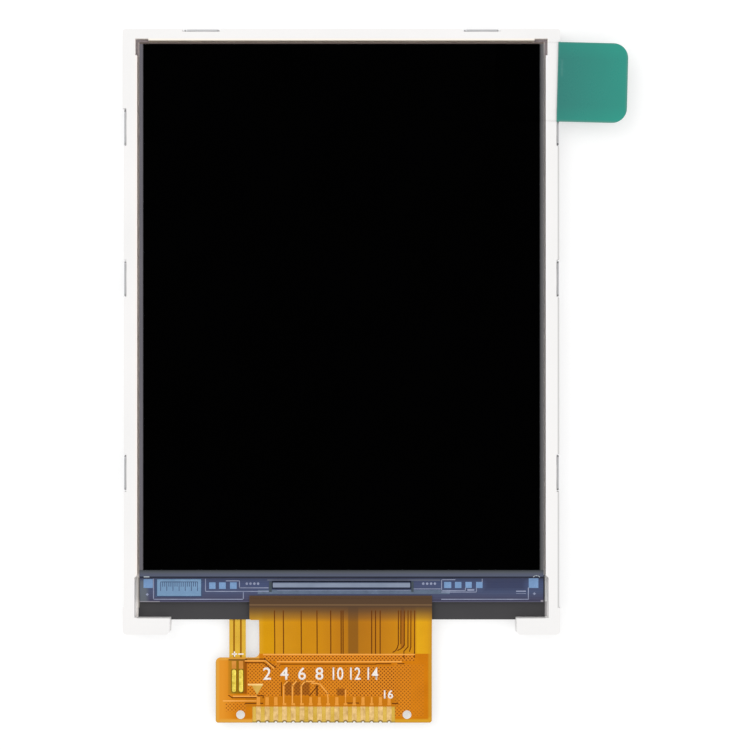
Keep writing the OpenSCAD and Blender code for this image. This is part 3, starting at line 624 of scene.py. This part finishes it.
ledgeMarks = {  # patches are x0, x1, y0, y1
    "pads": [(-22.66, -21.6, 1.61, 2.62), (21.42, 22.53, 1.61, 2.72)],
    "squares": [(-15.15, -14.42, 1.5, 2.25), (-14.02, -13.25, 1.5, 2.25), (-12.77, -12.0, 1.5, 2.25),
                (11.74, 12.56, 1.6, 2.3), (12.98, 13.72, 1.6, 2.3), (14.18, 14.9, 1.6, 2.3),
                (15.4, 16.14, 1.6, 2.3)],
    "runs": [
        [(-21.52, 2.62), (-21.52, 0.31), (-11.24, 0.31), (-11.24, 1.08)],
        [(-15.57, 2.6), (-15.57, 1.21), (-8.4, 1.21)],
        [(-13.2, 2.42), (-11.68, 2.42), (-11.68, 1.62), (-8.4, 1.62)],
        [(12.98, 2.55), (11.45, 2.55), (11.45, 1.3), (14.18, 1.3), (14.18, 1.6)],
        [(11.45, 1.14), (15.44, 1.14), (15.44, 1.6)],
        [(16.1, 2.6), (16.1, 2.3)],
        [(11.45, 0.31), (21.38, 0.31), (21.38, 1.61)],
        [(8.3, 1.5), (11.3, 1.5)],
    ],
    "runWidth": 0.09,
    "bars": [(19.98, 21.1, 1.17, 1.3), (20.0, 21.1, 0.95, 1.0), (14.4, 15.2, 1.28, 1.48),
             (-7.4, 7.9, 1.29, 1.335)],
    "dots": [(-10.84, 2.1), (-10.42, 2.1), (-9.98, 2.1), (-9.55, 2.1), (9.35, 2.1), (9.8, 2.1),
             (10.25, 2.1), (10.68, 2.1)],
    "dotRadius": 0.145,
    "crosses": [(22.07, 0.95), (-22.24, 0.86)],
    "crossArms": [(-0.16, 0.16, -0.05, 0.05), (-0.06, 0.06, 0.05, 0.14), (-0.06, 0.06, -0.14, -0.05)],
    "band": (-9.6, 12.4, 0.92, 1.38),
    "bondEnds": [(-8.3, -7.98, 1.15, 2.35), (7.98, 8.25, 1.15, 2.35)],
    # painted glints on marks at the upper plate's foot near the pads
    "shineDashes": [[(-22.55, 2.92), (-22.0, 2.92)], [(21.95, 2.93), (22.1, 3.06), (22.45, 3.06), (22.62, 2.93)]],
    "shineDashesWidth": 0.1,
    "labelBorder": (-21.34, -15.94, 0.56, 2.68), "labelField": (-21.1, -16.08, 0.7, 2.6),
    "scale": {"strokes": 19, "start": -20.7, "end": -16.48, "top": 2.3, "short": 1.8, "long": 1.3,
              "width": 0.07},  # every third stroke is long
}

ledgePadMetal = grainy("ledgePadMetal", tone(102, 138, 182), tone(124, 160, 206), fine=8.0, slow=0.8,
                       rough=(0.2, 0.32))
ledgeLineMetal = grainy("ledgeLineMetal", tone(122, 130, 160), tone(158, 166, 194), fine=8.0, slow=0.6,
                        rough=(0.2, 0.32))
ledgeBandMetal = grainy("ledgeBandMetal", tone(70, 86, 108), tone(98, 116, 142), fine=3.0, slow=0.6,
                        stretch=(1, 3, 1), rough=(0.25, 0.4))
bondGrey = grainy("bondGrey", tone(40, 54, 66), tone(60, 76, 86), fine=8.0, rough=(0.3, 0.45))
# painted glints on marks at the upper plate's foot
plateShine = grainy("plateShine", tone(150, 162, 172), tone(206, 214, 220), fine=6.0, rough=(0.4, 0.55))
labelDark = grainy("labelDark", tone(38, 60, 96), tone(50, 74, 112), fine=8.0, slow=0.8, rough=(0.2, 0.3))
labelLight = grainy("labelLight", tone(102, 138, 174), tone(120, 156, 192), fine=8.0, slow=0.8,
                    rough=(0.2, 0.3))


def makeLedgeMarks():
    marks = ledgeMarks
    layMarks("ledgePads", onLedge, ledgePadMetal, patches=marks["pads"] + marks["squares"])
    crosses = [(x + x0, x + x1, y + y0, y + y1) for x, y in marks["crosses"]
               for x0, x1, y0, y1 in marks["crossArms"]]
    layMarks("ledgeLines", onLedge, ledgeLineMetal, patches=marks["bars"] + crosses,
             runs=marks["runs"], width=marks["runWidth"], discs=marks["dots"],
             radius=marks["dotRadius"], lift=0.004)
    layMarks("ledgeBand", onLedge, ledgeBandMetal, patches=[marks["band"]], lift=0.002)
    # bond film squeezed out at the chip's ends, and painted glints on marks at the upper plate's foot near
    # the pads
    layMarks("bondFillets", onLedge, bondGrey, patches=marks["bondEnds"], thick=0.02)
    layMarks("plateShine", onUpperPlate, plateShine, runs=marks["shineDashes"], width=marks["shineDashesWidth"],
             thick=0.01)
    layMarks("labelBorder", onLedge, labelDark, patches=[marks["labelBorder"]], thick=0.004)
    layMarks("labelField", onLedge, labelLight, patches=[marks["labelField"]], thick=0.004, lift=0.008)
    scale = marks["scale"]
    top = scale["top"]
    strokes = [[(scale["start"], top), (scale["end"], top)]]
    for i in range(scale["strokes"]):
        x = scale["start"] + i * (scale["end"] - scale["start"]) / (scale["strokes"] - 1)
        strokes.append([(x, top), (x, scale["short"] if i % 3 else scale["long"])])
    layMarks("labelScale", onLedge, labelDark, runs=strokes, width=scale["width"], thick=0.004,
             lift=0.013)


makeLedgeMarks()
print("ledge marks laid")

flexLook = {  # zones are x0, x1, y0, y1 and softness, and patches have a share and a colour too
    "neckSides": (-7.4, 12.4), "neckFrom": (7.88, 7.94),
    "neck": [  # amber from side to side, yellower at its borders
        (0.0, tone(226, 168, 40)), (0.03, tone(222, 158, 8)), (0.09, tone(222, 158, 8)),
        (0.095, tone(220, 154, 28)), (0.24, tone(212, 144, 16)), (0.36, tone(210, 140, 18)),
        (0.46, tone(196, 126, 20)), (0.55, tone(178, 114, 22)), (0.66, tone(192, 122, 22)),
        (0.8, tone(208, 138, 20)), (0.9, tone(212, 144, 16)), (0.915, tone(236, 176, 26)),
        (0.975, tone(230, 166, 24)), (1.0, tone(204, 150, 36))],
    "neckCloud": tone(190, 122, 16), "neckCloudShare": 0.3,
    "neckPatches": [
        (2.81, 3.96, 7.95, 14.0, 0.08, 0.75, tone(134, 86, 26)),  # wide gap
        (8.82, 9.25, 8.55, 14.0, 0.12, 0.7, tone(158, 88, 22))],  # two traces close together
    "copper": tone(222, 132, 8), "copperDeep": tone(202, 116, 4),
    "copperLeft": tone(232, 150, 42), "leftFrom": (-10.0, -11.6),
    "hatchPitch": 0.298, "hatchLine": 0.34, "gap": tone(130, 66, 6),
    "line": tone(240, 150, 46), "lineShare": 0.5,
    "hatchSoft": 0.1, "hatched": [  # x0, x1, y0, y1 and share
        (-6.9, 10.4, 7.1, 7.78, 1.0), (-8.75, -4.9, 3.0, 6.8, 0.8), (-4.5, 3.0, 3.1, 6.5, 0.8),
        (3.0, 8.2, 3.0, 6.5, 1.0), (8.1, 10.0, 0.7, 6.7, 0.7), (9.9, 11.5, 0.7, 6.7, 0.3),
        (-11.3, -8.9, 1.3, 2.3, 0.7)],
    "darkFields": [
        (-4.45, -3.65, 3.15, 4.7), (-3.4, -2.7, 3.15, 4.7), (-2.5, -1.6, 3.15, 4.6),
        (-0.95, -0.7, 3.1, 4.4), (1.5, 2.4, 3.1, 3.9)],
    "darkField": (0.2, 0.6, tone(104, 48, 12)),  # softness, share and colour of them all
    "stubField": (-9.0, 8.6, 1.8, 3.0, 0.2, 0.4, tone(184, 112, 16)),
    "copperZone": (-12.0, 12.0, 0.4, 8.48, 0.2), "shoulderZone": (-12.0, -7.4, 7.18, 8.48, 0.1),
    "rimLeft": tone(230, 164, 62), "rimRight": tone(208, 144, 34), "rimFade": 6.0,
    "rimOuter": tone(196, 156, 74), "rimZone": (-12.34, 12.34, 0.06, 20.0, 0.16),
    "rimFoot": (8.0, 12.3, 0.1, 0.6, 0.2, 0.9, tone(220, 162, 40)),
    "jointZone": (-10.98, -8.76, 3.3, 7.3, 0.16), "jointShare": 0.95,
    "joints": [  # film round the two solder joints, from side to side
        (0.0, tone(206, 132, 26)), (0.1, tone(192, 128, 26)), (0.22, tone(172, 128, 24)),
        (0.46, tone(150, 108, 6)), (0.72, tone(148, 92, 2)), (0.86, tone(154, 84, 4)),
        (0.94, tone(150, 76, 2)), (1.0, tone(196, 112, 24))],
    "jointTop": (-10.9, -8.8, 7.13, 7.3, 0.1, 1.0, tone(138, 92, 32)),
    "brown": tone(88, 66, 48), "brownSpan": (11.6, 14.7),  # over the tape and the glass
    "brownShares": [(0.0, 0.0), (0.16, 0.42), (0.4, 0.8), (0.6, 1.0), (1.0, 1.0)],
    "glint": (-9.0, 12.6, 13.52, 13.66, 0.08, 0.7, tone(134, 104, 72)),
}


def makeFlexCover():
    colours = flexLook
    material, tree, shader, spot, grain = startSurface("flexCover", fine=7.0, slow=0.35,
                                                       origin=flexPlace)
    axes = axesOf(tree, spot)
    cloud = cloudOf(tree, grain)
    neck = ramp(tree, spread(tree, axes[0], *colours["neckSides"]), colours["neck"])
    neck = tint(tree, neck, cloud, colours["neckCloud"], colours["neckCloudShare"])
    neck = tintPatches(tree, spot, neck, colours["neckPatches"])
    # wide end: copper inset from a clear rim, hatched in places
    wide = blend(tree, cloud, colours["copperDeep"], colours["copper"])
    wide = tint(tree, wide, spread(tree, axes[0], *colours["leftFrom"]), colours["copperLeft"])
    mesh = effect(tree, "hatch", {"Vector": spot, "Pitch": colours["hatchPitch"],
                                  "Line": colours["hatchLine"]})["Mask"]
    hatched = 0.0
    for x0, x1, y0, y1, share in colours["hatched"]:
        here = calc(tree, "MULTIPLY", zone(tree, spot, x0, x1, y0, y1, colours["hatchSoft"]), share)
        hatched = calc(tree, "MAXIMUM", hatched, here)
    gaps = calc(tree, "MULTIPLY", mesh, hatched)
    wide = tint(tree, wide, hatched, colours["line"], colours["lineShare"])
    wide = tint(tree, wide, gaps, colours["gap"])
    wide = tintPatches(tree, spot, wide, [
        (*field, *colours["darkField"]) for field in colours["darkFields"]])
    wide = tintPatches(tree, spot, wide, [colours["stubField"]])
    rim = blend(tree, spread(tree, axes[0], -colours["rimFade"], colours["rimFade"]),
                colours["rimLeft"], colours["rimRight"])
    rim = blend(tree, zone(tree, spot, *colours["rimZone"]), colours["rimOuter"], rim)
    rim = tintPatches(tree, spot, rim, [colours["rimFoot"]])
    wide = blend(tree, zone(tree, spot, *colours["copperZone"]), rim, wide)
    wide = blend(tree, zone(tree, spot, *colours["shoulderZone"]), wide, rim)
    joints = colours["jointZone"]
    field = ramp(tree, spread(tree, axes[0], joints[0], joints[1]), colours["joints"])
    wide = tint(tree, wide, zone(tree, spot, *joints), field, colours["jointShare"])
    wide = tintPatches(tree, spot, wide, [colours["jointTop"]])
    film = blend(tree, spread(tree, axes[1], *colours["neckFrom"]), wide, neck)
    brown = greyRamp(tree, spread(tree, axes[1], *colours["brownSpan"]), colours["brownShares"])
    film = tint(tree, film, brown, colours["brown"])
    film = tintPatches(tree, spot, film, [colours["glint"]])
    feed(tree, shader, Base_Color=film, Roughness=roughOf(tree, grain["Tone"], 0.22, 0.36))
    relief(tree, shader, calc(tree, "SUBTRACT", grain["Height"], gaps), depth=0.004, strength=0.6)
    setPlain(shader, IOR=1.16)
    return material


baseLook = {
    "film": tone(220, 182, 64), "filmDeep": tone(196, 158, 44),
    "window": (-9.0, 9.0, -0.5, 2.6, 0.05),
    "windowPale": tone(232, 194, 92), "windowDeep": tone(208, 166, 54),
    "cutEnd": tone(170, 146, 74), "cutEndHeight": 0.14,
    "joints": (-11.0, -8.76, 3.0, 7.33, 0.1, 1.0, tone(154, 118, 22)),
    "brownFrom": (12.4, 13.2),
}


def makeFlexBase():  # it shows in the cover's windows and at the cut edges
    colours = baseLook
    material, tree, shader, spot, grain = startSurface("flexBase", fine=7.0, slow=0.5,
                                                       origin=flexPlace)
    height = axesOf(tree, spot)[1]
    film = blend(tree, cloudOf(tree, grain), colours["filmDeep"], colours["film"])
    bare = blend(tree, spread(tree, grain["Tone"], 0.35, 0.65), colours["windowDeep"],
                 colours["windowPale"])
    film = tint(tree, film, zone(tree, spot, *colours["window"]), bare)
    film = tint(tree, film, calc(tree, "LESS_THAN", height, colours["cutEndHeight"]), colours["cutEnd"])
    film = tintPatches(tree, spot, film, [colours["joints"]])
    film = tint(tree, film, spread(tree, height, *colours["brownFrom"]), flexLook["brown"])
    feed(tree, shader, Base_Color=film, Roughness=roughOf(tree, grain["Tone"], 0.25, 0.4))
    relief(tree, shader, grain["Height"], depth=0.002, strength=0.5)
    setPlain(shader, IOR=1.2)
    return material


paint("flex_coverlay", makeFlexCover())
paint("main_flex", makeFlexBase())

goldLook = {"deep": (0.56, 0.34, 0.11, 1), "bright": (0.9, 0.63, 0.28, 1), "rim": (0.13, 0.09, 0.02, 1),
            "rimOuter": 0.36, "holeShadeInner": 0.26, "holeShadeShare": 0.8}  # radii round each half hole's centre of the painted shade ring


def makeContactGold():  # plating, with painted shade round the half holes at the foot
    material, tree, shader, spot, grain = startSurface("contactGold", fine=4.0, slow=1.6,
                                                       stretch=(1, 0.4, 1), origin=flexPlace)
    axes = axesOf(tree, spot)
    gold = blend(tree, cloudOf(tree, grain), goldLook["deep"], goldLook["bright"])
    across = calc(tree, "SUBTRACT", calc(tree, "FRACT", axes[0]), 0.5)  # the contacts lie 1 mm apart
    away = put(tree, "VectorMath", {0: put(tree, "CombineXYZ", {0: across, 1: axes[1]}).outputs[0]},
               operation="LENGTH").outputs["Value"]
    # painted shade round each half hole
    rim = spread(tree, away, goldLook["rimOuter"], goldLook["holeShadeInner"])
    feed(tree, shader, Base_Color=tint(tree, gold, rim, goldLook["rim"], goldLook["holeShadeShare"]),
         Roughness=cloudOf(tree, grain, 0.3, 0.46))
    relief(tree, shader, grain["Height"], depth=0.002)
    setPlain(shader, Metallic=1.0)
    return material


paint("contact_fingers", makeContactGold())
solder = grainy("solderGold", (0.52, 0.36, 0.02, 1), (0.95, 0.8, 0.14, 1), fine=3.5, slow=1.6,
                depth=0.03, rough=(0.2, 0.38), Metallic=0.85)
paint("solder_joint_anode", solder)
paint("solder_joint_cathode", solder)

flexMarks = {
    "gapWidth": 0.11,
    "neckGaps": [-5.62, -4.61, -2.57, -0.76, 0.81, 2.0, 2.22, 5.5, 5.94, 6.47, 10.42],
    "neckTop": 12.9, "neckFoot": 7.95,
    "bentGaps": [
        [(8.56, 12.9), (8.56, 9.0), (8.45, 8.6), (8.25, 8.28), (7.95, 8.08)],
        [(8.84, 12.9), (8.84, 9.1)], [(9.24, 12.9), (9.24, 8.9), (8.9, 8.5), (8.5, 8.3)],
        [(9.66, 12.9), (9.66, 8.7), (9.2, 8.2), (9.2, 7.5)],
        [(9.99, 12.9), (9.99, 8.7), (9.85, 8.2)],
        [(10.4, 8.0), (10.4, 7.5)],
    ],
    "wideGaps": [
        [(-5.0, 6.72), (6.0, 6.72)], [(6.0, 6.76), (7.7, 6.76)], [(8.5, 6.76), (9.2, 6.76)],
        [(-8.95, 7.3), (-6.8, 7.3), (-5.5, 6.35)], [(-8.95, 6.88), (-6.86, 6.88), (-6.08, 6.15)],
        [(-10.9, 3.13), (-10.5, 2.86), (-7.75, 2.86)], [(-9.0, 2.22), (-7.0, 2.22)],
        [(-7.6, 3.1), (-6.95, 3.1), (-6.95, 2.85)],
        [(7.86, 2.2), (8.5, 2.2)], [(2.7, 2.25), (4.0, 2.25)],
        [(-4.86, 3.1), (-4.86, 4.6)], [(-1.6, 3.1), (-0.75, 4.2), (-0.75, 3.1)],
    ],
    "traces": [
        [(-6.9, 7.83), (10.4, 7.83)], [(-5.34, 7.0), (8.9, 7.0)],
        [(-9.0, 7.09), (-6.65, 7.09), (-5.75, 6.27)],
        [(-10.34, 3.03), (-7.7, 3.03)], [(-11.5, 2.5), (-7.8, 2.5)],
        [(-4.6, 2.3), (-4.6, 4.3), (-4.19, 4.72)], [(-3.6, 2.3), (-3.6, 4.25), (-3.17, 4.72)],
        [(-2.58, 2.3), (-2.58, 4.25), (-2.14, 4.74), (-1.1, 4.74)],
        [(0.45, 2.2), (0.45, 3.35), (-0.45, 4.45), (-1.35, 4.55)], [(2.5, 2.2), (2.5, 3.7)],
    ],
    "traceWidth": 0.14,
    "stubWidths": [0.4, 0.4, 0.4, 0.0, 0.0, 0.0, 0.3, 0.3, 0.2, 0.36, 0.14, 0.3, 0.36, 0.2, 0.36, 0.36],
    "firstStub": -7.5, "stubTop": 2.95, "stubFoot": 2.25, "flareTop": 2.24, "flareFoot": 2.0,
    "flareWidth": 0.42,
    "jointPads": [(-10.56, -10.04, 6.18, 7.08), (-9.74, -9.24, 6.18, 7.08)],
    "numbers": {"y": 4.95, "height": 1.4, "narrow": 0.78},  # two digits are set narrower
    "lastNumber": {"x": 7.32, "y": 2.8, "height": 0.95, "bold": 0.02},
    "bar": (-8.71, -6.98, 4.27, 4.47),
    "triangle": {"x": -7.65, "y": 3.92, "radius": 0.72},
}
flexGapInk = grainy("flexGap", tone(88, 40, 2), tone(118, 60, 6), fine=8.0, rough=(0.3, 0.45), IOR=1.16)
flexCopperLine = grainy("flexCopperLine", tone(242, 160, 64), tone(255, 184, 92), fine=8.0,
                        rough=(0.25, 0.4), IOR=1.16)
flexStubCopper = grainy("flexStubCopper", tone(230, 148, 50), tone(244, 168, 74), fine=8.0,
                        rough=(0.3, 0.45), IOR=1.16)
jointPadCopper = grainy("jointPadCopper", tone(206, 130, 48), tone(230, 156, 70), fine=8.0, slow=0.8,
                        rough=(0.3, 0.45), IOR=1.16)
markYellow = grainy("markYellow", tone(204, 158, 64), tone(226, 184, 92), fine=8.0, slow=0.8,
                    rough=(0.35, 0.5), IOR=1.16)
markCream = grainy("markCream", tone(250, 196, 112), tone(255, 222, 150), fine=8.0, slow=0.8,
                   rough=(0.35, 0.5), IOR=1.16)
printWhite = grainy("printWhite", tone(248, 238, 230), tone(255, 250, 244), fine=10.0, slow=1.5,
                    depth=0.002, rough=(0.5, 0.65))


def addNumber(bm, place, label, x, y, height, bold=0.012, narrow=1.0):  # centred on x, its foot on y
    curve = bpy.data.curves.new("number", "FONT")
    curve.body = label
    curve.align_x = "CENTER"
    curve.offset = bold
    source = bpy.data.objects.new("number", curve)
    bpy.context.scene.collection.objects.link(source)
    bpy.context.view_layer.update()
    mesh = bpy.data.meshes.new_from_object(source.evaluated_get(bpy.context.evaluated_depsgraph_get()))
    tall = max(v.co.y for v in mesh.vertices)
    size = height / tall * mm
    fit = Matrix.Diagonal((size * narrow, size, size, 1.0))
    mesh.transform(Matrix.Translation(((place.x + x) * mm, (place.y + y) * mm, 0)) @ fit)
    bm.from_mesh(mesh)
    bpy.data.objects.remove(source)
    bpy.data.curves.remove(curve)
    bpy.data.meshes.remove(mesh)


def makeFlexMarks():
    marks = flexMarks
    neckGaps = [[(x, marks["neckTop"]), (x, marks["neckFoot"])] for x in marks["neckGaps"]]
    layMarks("flexGaps", onFlex, flexGapInk, runs=neckGaps + marks["bentGaps"] + marks["wideGaps"],
             width=marks["gapWidth"], thick=0.004)
    layMarks("flexTraces", onFlex, flexCopperLine, runs=marks["traces"], width=marks["traceWidth"],
             thick=0.005, lift=0.005)
    stubs = []
    flare = marks["flareWidth"] / 2
    for i, width in enumerate(marks["stubWidths"]):  # each trace widens to its contact
        x = marks["firstStub"] + i
        if width > 0:
            stubs.append((x - width / 2, x + width / 2, marks["stubFoot"], marks["stubTop"]))
        stubs.append((x - flare, x + flare, marks["flareFoot"], marks["flareTop"]))
    layMarks("flexStubs", onFlex, flexStubCopper, patches=stubs, thick=0.005, lift=0.006)
    layMarks("jointPads", onFlex, jointPadCopper, patches=marks["jointPads"], thick=0.005, lift=0.005)
    bm = bmesh.new()
    row = marks["numbers"]
    for contact in range(2, 15, 2):  # the even contacts
        addNumber(bm, flexPlace, str(contact), marks["firstStub"] + contact - 1, row["y"], row["height"],
                  narrow=1.0 if contact < 10 else row["narrow"])
    addNumber(bm, flexPlace, "16", **marks["lastNumber"])
    finishMarks("contactNumbers", bm, onFlex, printWhite, lift=0.012)
    layMarks("contactBar", onFlex, markCream, patches=[marks["bar"]], lift=0.014)
    bm = bmesh.new()  # a triangle marks the first contact
    addDisc(bm, flexPlace, **marks["triangle"], segments=3, turn=math.pi)
    finishMarks("contactTriangle", bm, onFlex, markYellow, lift=0.012)


makeFlexMarks()
print("flex dressed")

tailLook = {
    "film": tone(232, 186, 40), "filmDeep": tone(216, 166, 24),
    "traces": [[(x, 3.6), (x, 9.5)] for x in (-12.35, -11.57)], "traceWidth": 0.2,
    "signs": [[(-10.48, 7.86), (-10.02, 7.86)], [(-10.25, 8.09), (-10.25, 7.63)],  # plus
              [(-9.74, 7.86), (-9.28, 7.86)]],  # minus
    "signWidth": 0.14,
}
tailLineInk = grainy("tailLine", tone(152, 98, 8), tone(172, 114, 16), fine=8.0, rough=(0.3, 0.45),
                     IOR=1.16)
paint("led_strip", grainy("stripFilm", tailLook["filmDeep"], tailLook["film"], fine=7.0, slow=0.5,
                          rough=(0.25, 0.4)))
layMarks("tailLines", onTail, tailLineInk, runs=tailLook["traces"], width=tailLook["traceWidth"],
         thick=0.004)
layMarks("polarityMarks", onTailEnd, printWhite, runs=tailLook["signs"], width=tailLook["signWidth"],
         lift=0.006)
print("tail dressed")

tabLook = {
    "left": tone(38, 122, 114), "right": tone(34, 156, 138), "turn": math.radians(-1.4),
    "fade": 4.0, "leastRight": 0.35,  # the share of the right tone at the left end
    "middle": (-9.0, 9.0, -3.5, 3.5, 1.8), "middleShare": 0.3,  # deeper in the middle
    "streak": (-3.6, -3.42, 0.7, 2.5, 0.2, 0.5, tone(84, 150, 142)),
    "inside": (-3.9, 3.86, -4.4, 4.44, 0.2), "edge": tone(104, 146, 136), "edgeShare": 0.55,
    "cloud": tone(40, 124, 110), "cloudShare": 0.2,
}


def makeTabFilm():
    colours = tabLook
    material, tree, shader, spot, grain = startSurface("tabFilm", fine=6.0, slow=0.3,
                                                       origin=tabPlace, turn=-colours["turn"])
    across = spread(tree, axesOf(tree, spot)[0], -colours["fade"], colours["fade"])
    least = colours["leastRight"]
    shade = calc(tree, "ADD", calc(tree, "MULTIPLY", across, 1.0 - least), least)
    middle = zone(tree, spot, *colours["middle"])
    shade = calc(tree, "SUBTRACT", shade, calc(tree, "MULTIPLY", middle, colours["middleShare"]))
    film = blend(tree, shade, colours["left"], colours["right"])
    film = tintPatches(tree, spot, film, [colours["streak"]])
    outside = calc(tree, "SUBTRACT", 1.0, zone(tree, spot, *colours["inside"]))
    film = tint(tree, film, outside, colours["edge"], colours["edgeShare"])
    film = tint(tree, film, cloudOf(tree, grain), colours["cloud"], colours["cloudShare"])
    feed(tree, shader, Base_Color=film, Roughness=roughOf(tree, grain["Tone"], 0.22, 0.34))
    relief(tree, shader, grain["Height"], depth=0.002, strength=0.4)
    setPlain(shader, IOR=1.4)
    return material


clearFilm = {"place": (0, 0, 0), "turn": 0.0, "low": filmLow, "high": filmHigh, "fine": 0.8,
             "rim": 0.12, "edge": 0.04, "shownFrom": -50.0, "fade": 0.3}
carrierTape = {"place": tabPlace, "turn": -tabLook["turn"], "low": (-11.12, -4.55), "high": (4.0, 4.55),
               "fine": 1.5, "rim": 0.14, "edge": 0.045, "shownFrom": -6.1, "fade": 0.3}
filmBody = {"dark": tone(22, 24, 26), "light": tone(40, 43, 46), "faintest": 0.7}


def makeClearFilm(name, look):  # clear in the middle, with a faint line where it was cut
    material, tree, shader, spot, grain = startSurface(name, fine=look["fine"], slow=0.1,
                                                       origin=look["place"], turn=look["turn"])
    low, high, rim = look["low"], look["high"], look["rim"]
    inside = zone(tree, spot, low[0] + rim, high[0] - rim, low[1] + rim, high[1] - rim, rim)
    cut = calc(tree, "MULTIPLY", calc(tree, "SUBTRACT", 1.0, inside), look["edge"])
    start = look["shownFrom"]  # the line shows to the right of this
    cut = calc(tree, "MULTIPLY", cut, spread(tree, axesOf(tree, spot)[0], start, start + look["fade"]))
    feed(tree, shader, Base_Color=blend(tree, grain["Tone"], filmBody["dark"], filmBody["light"]),
         Alpha=calc(tree, "MULTIPLY", cut, cloudOf(tree, grain, filmBody["faintest"], 1.0)),
         Roughness=roughOf(tree, grain["Tone"], 0.08, 0.16))
    setPlain(shader, IOR=1.06)
    return material


paint("pull_tab", makeTabFilm())
paint("protective_film", makeClearFilm("clearFilm", clearFilm))
paint("pull_tab_carrier", makeClearFilm("carrierTape", carrierTape))
print("tab and films dressed")

paint("reflector_sheet", grainy("reflectorFilm", (0.88, 0.89, 0.9, 1), (0.95, 0.96, 0.97, 1), fine=4.0,
                                rough=(0.1, 0.2)))
paint("light_guide", grainy("guideAcrylic", (0.86, 0.92, 0.94, 1), (0.92, 0.96, 0.98, 1), fine=3.0,
                            rough=(0.05, 0.12), Transmission_Weight=0.6, IOR=1.49))
paint("diffuser_sheet", grainy("diffuserFilm", (0.86, 0.87, 0.88, 1), (0.93, 0.94, 0.95, 1), fine=25.0,
                               depth=0.002, rough=(0.6, 0.75)))
prism = grainy("prismFilm", (0.78, 0.8, 0.84, 1), (0.9, 0.92, 0.94, 1), fine=6.0, stretch=(0.1, 3, 1),
               rough=(0.1, 0.2), Transmission_Weight=0.3, IOR=1.5)
paint("lower_prism_sheet", prism)
paint("upper_prism_sheet", prism)
paint("led_strip_tape", grainy("stripTape", tone(222, 218, 190), tone(238, 234, 210), fine=9.0,
                               rough=(0.5, 0.65)))
ledPlastic = grainy("ledPackage", (0.86, 0.85, 0.8, 1), (0.94, 0.93, 0.9, 1), fine=9.0, rough=(0.4, 0.5))
for number in range(1, 5):
    paint(f"led_{number}", ledPlastic)
print("backlight dressed")
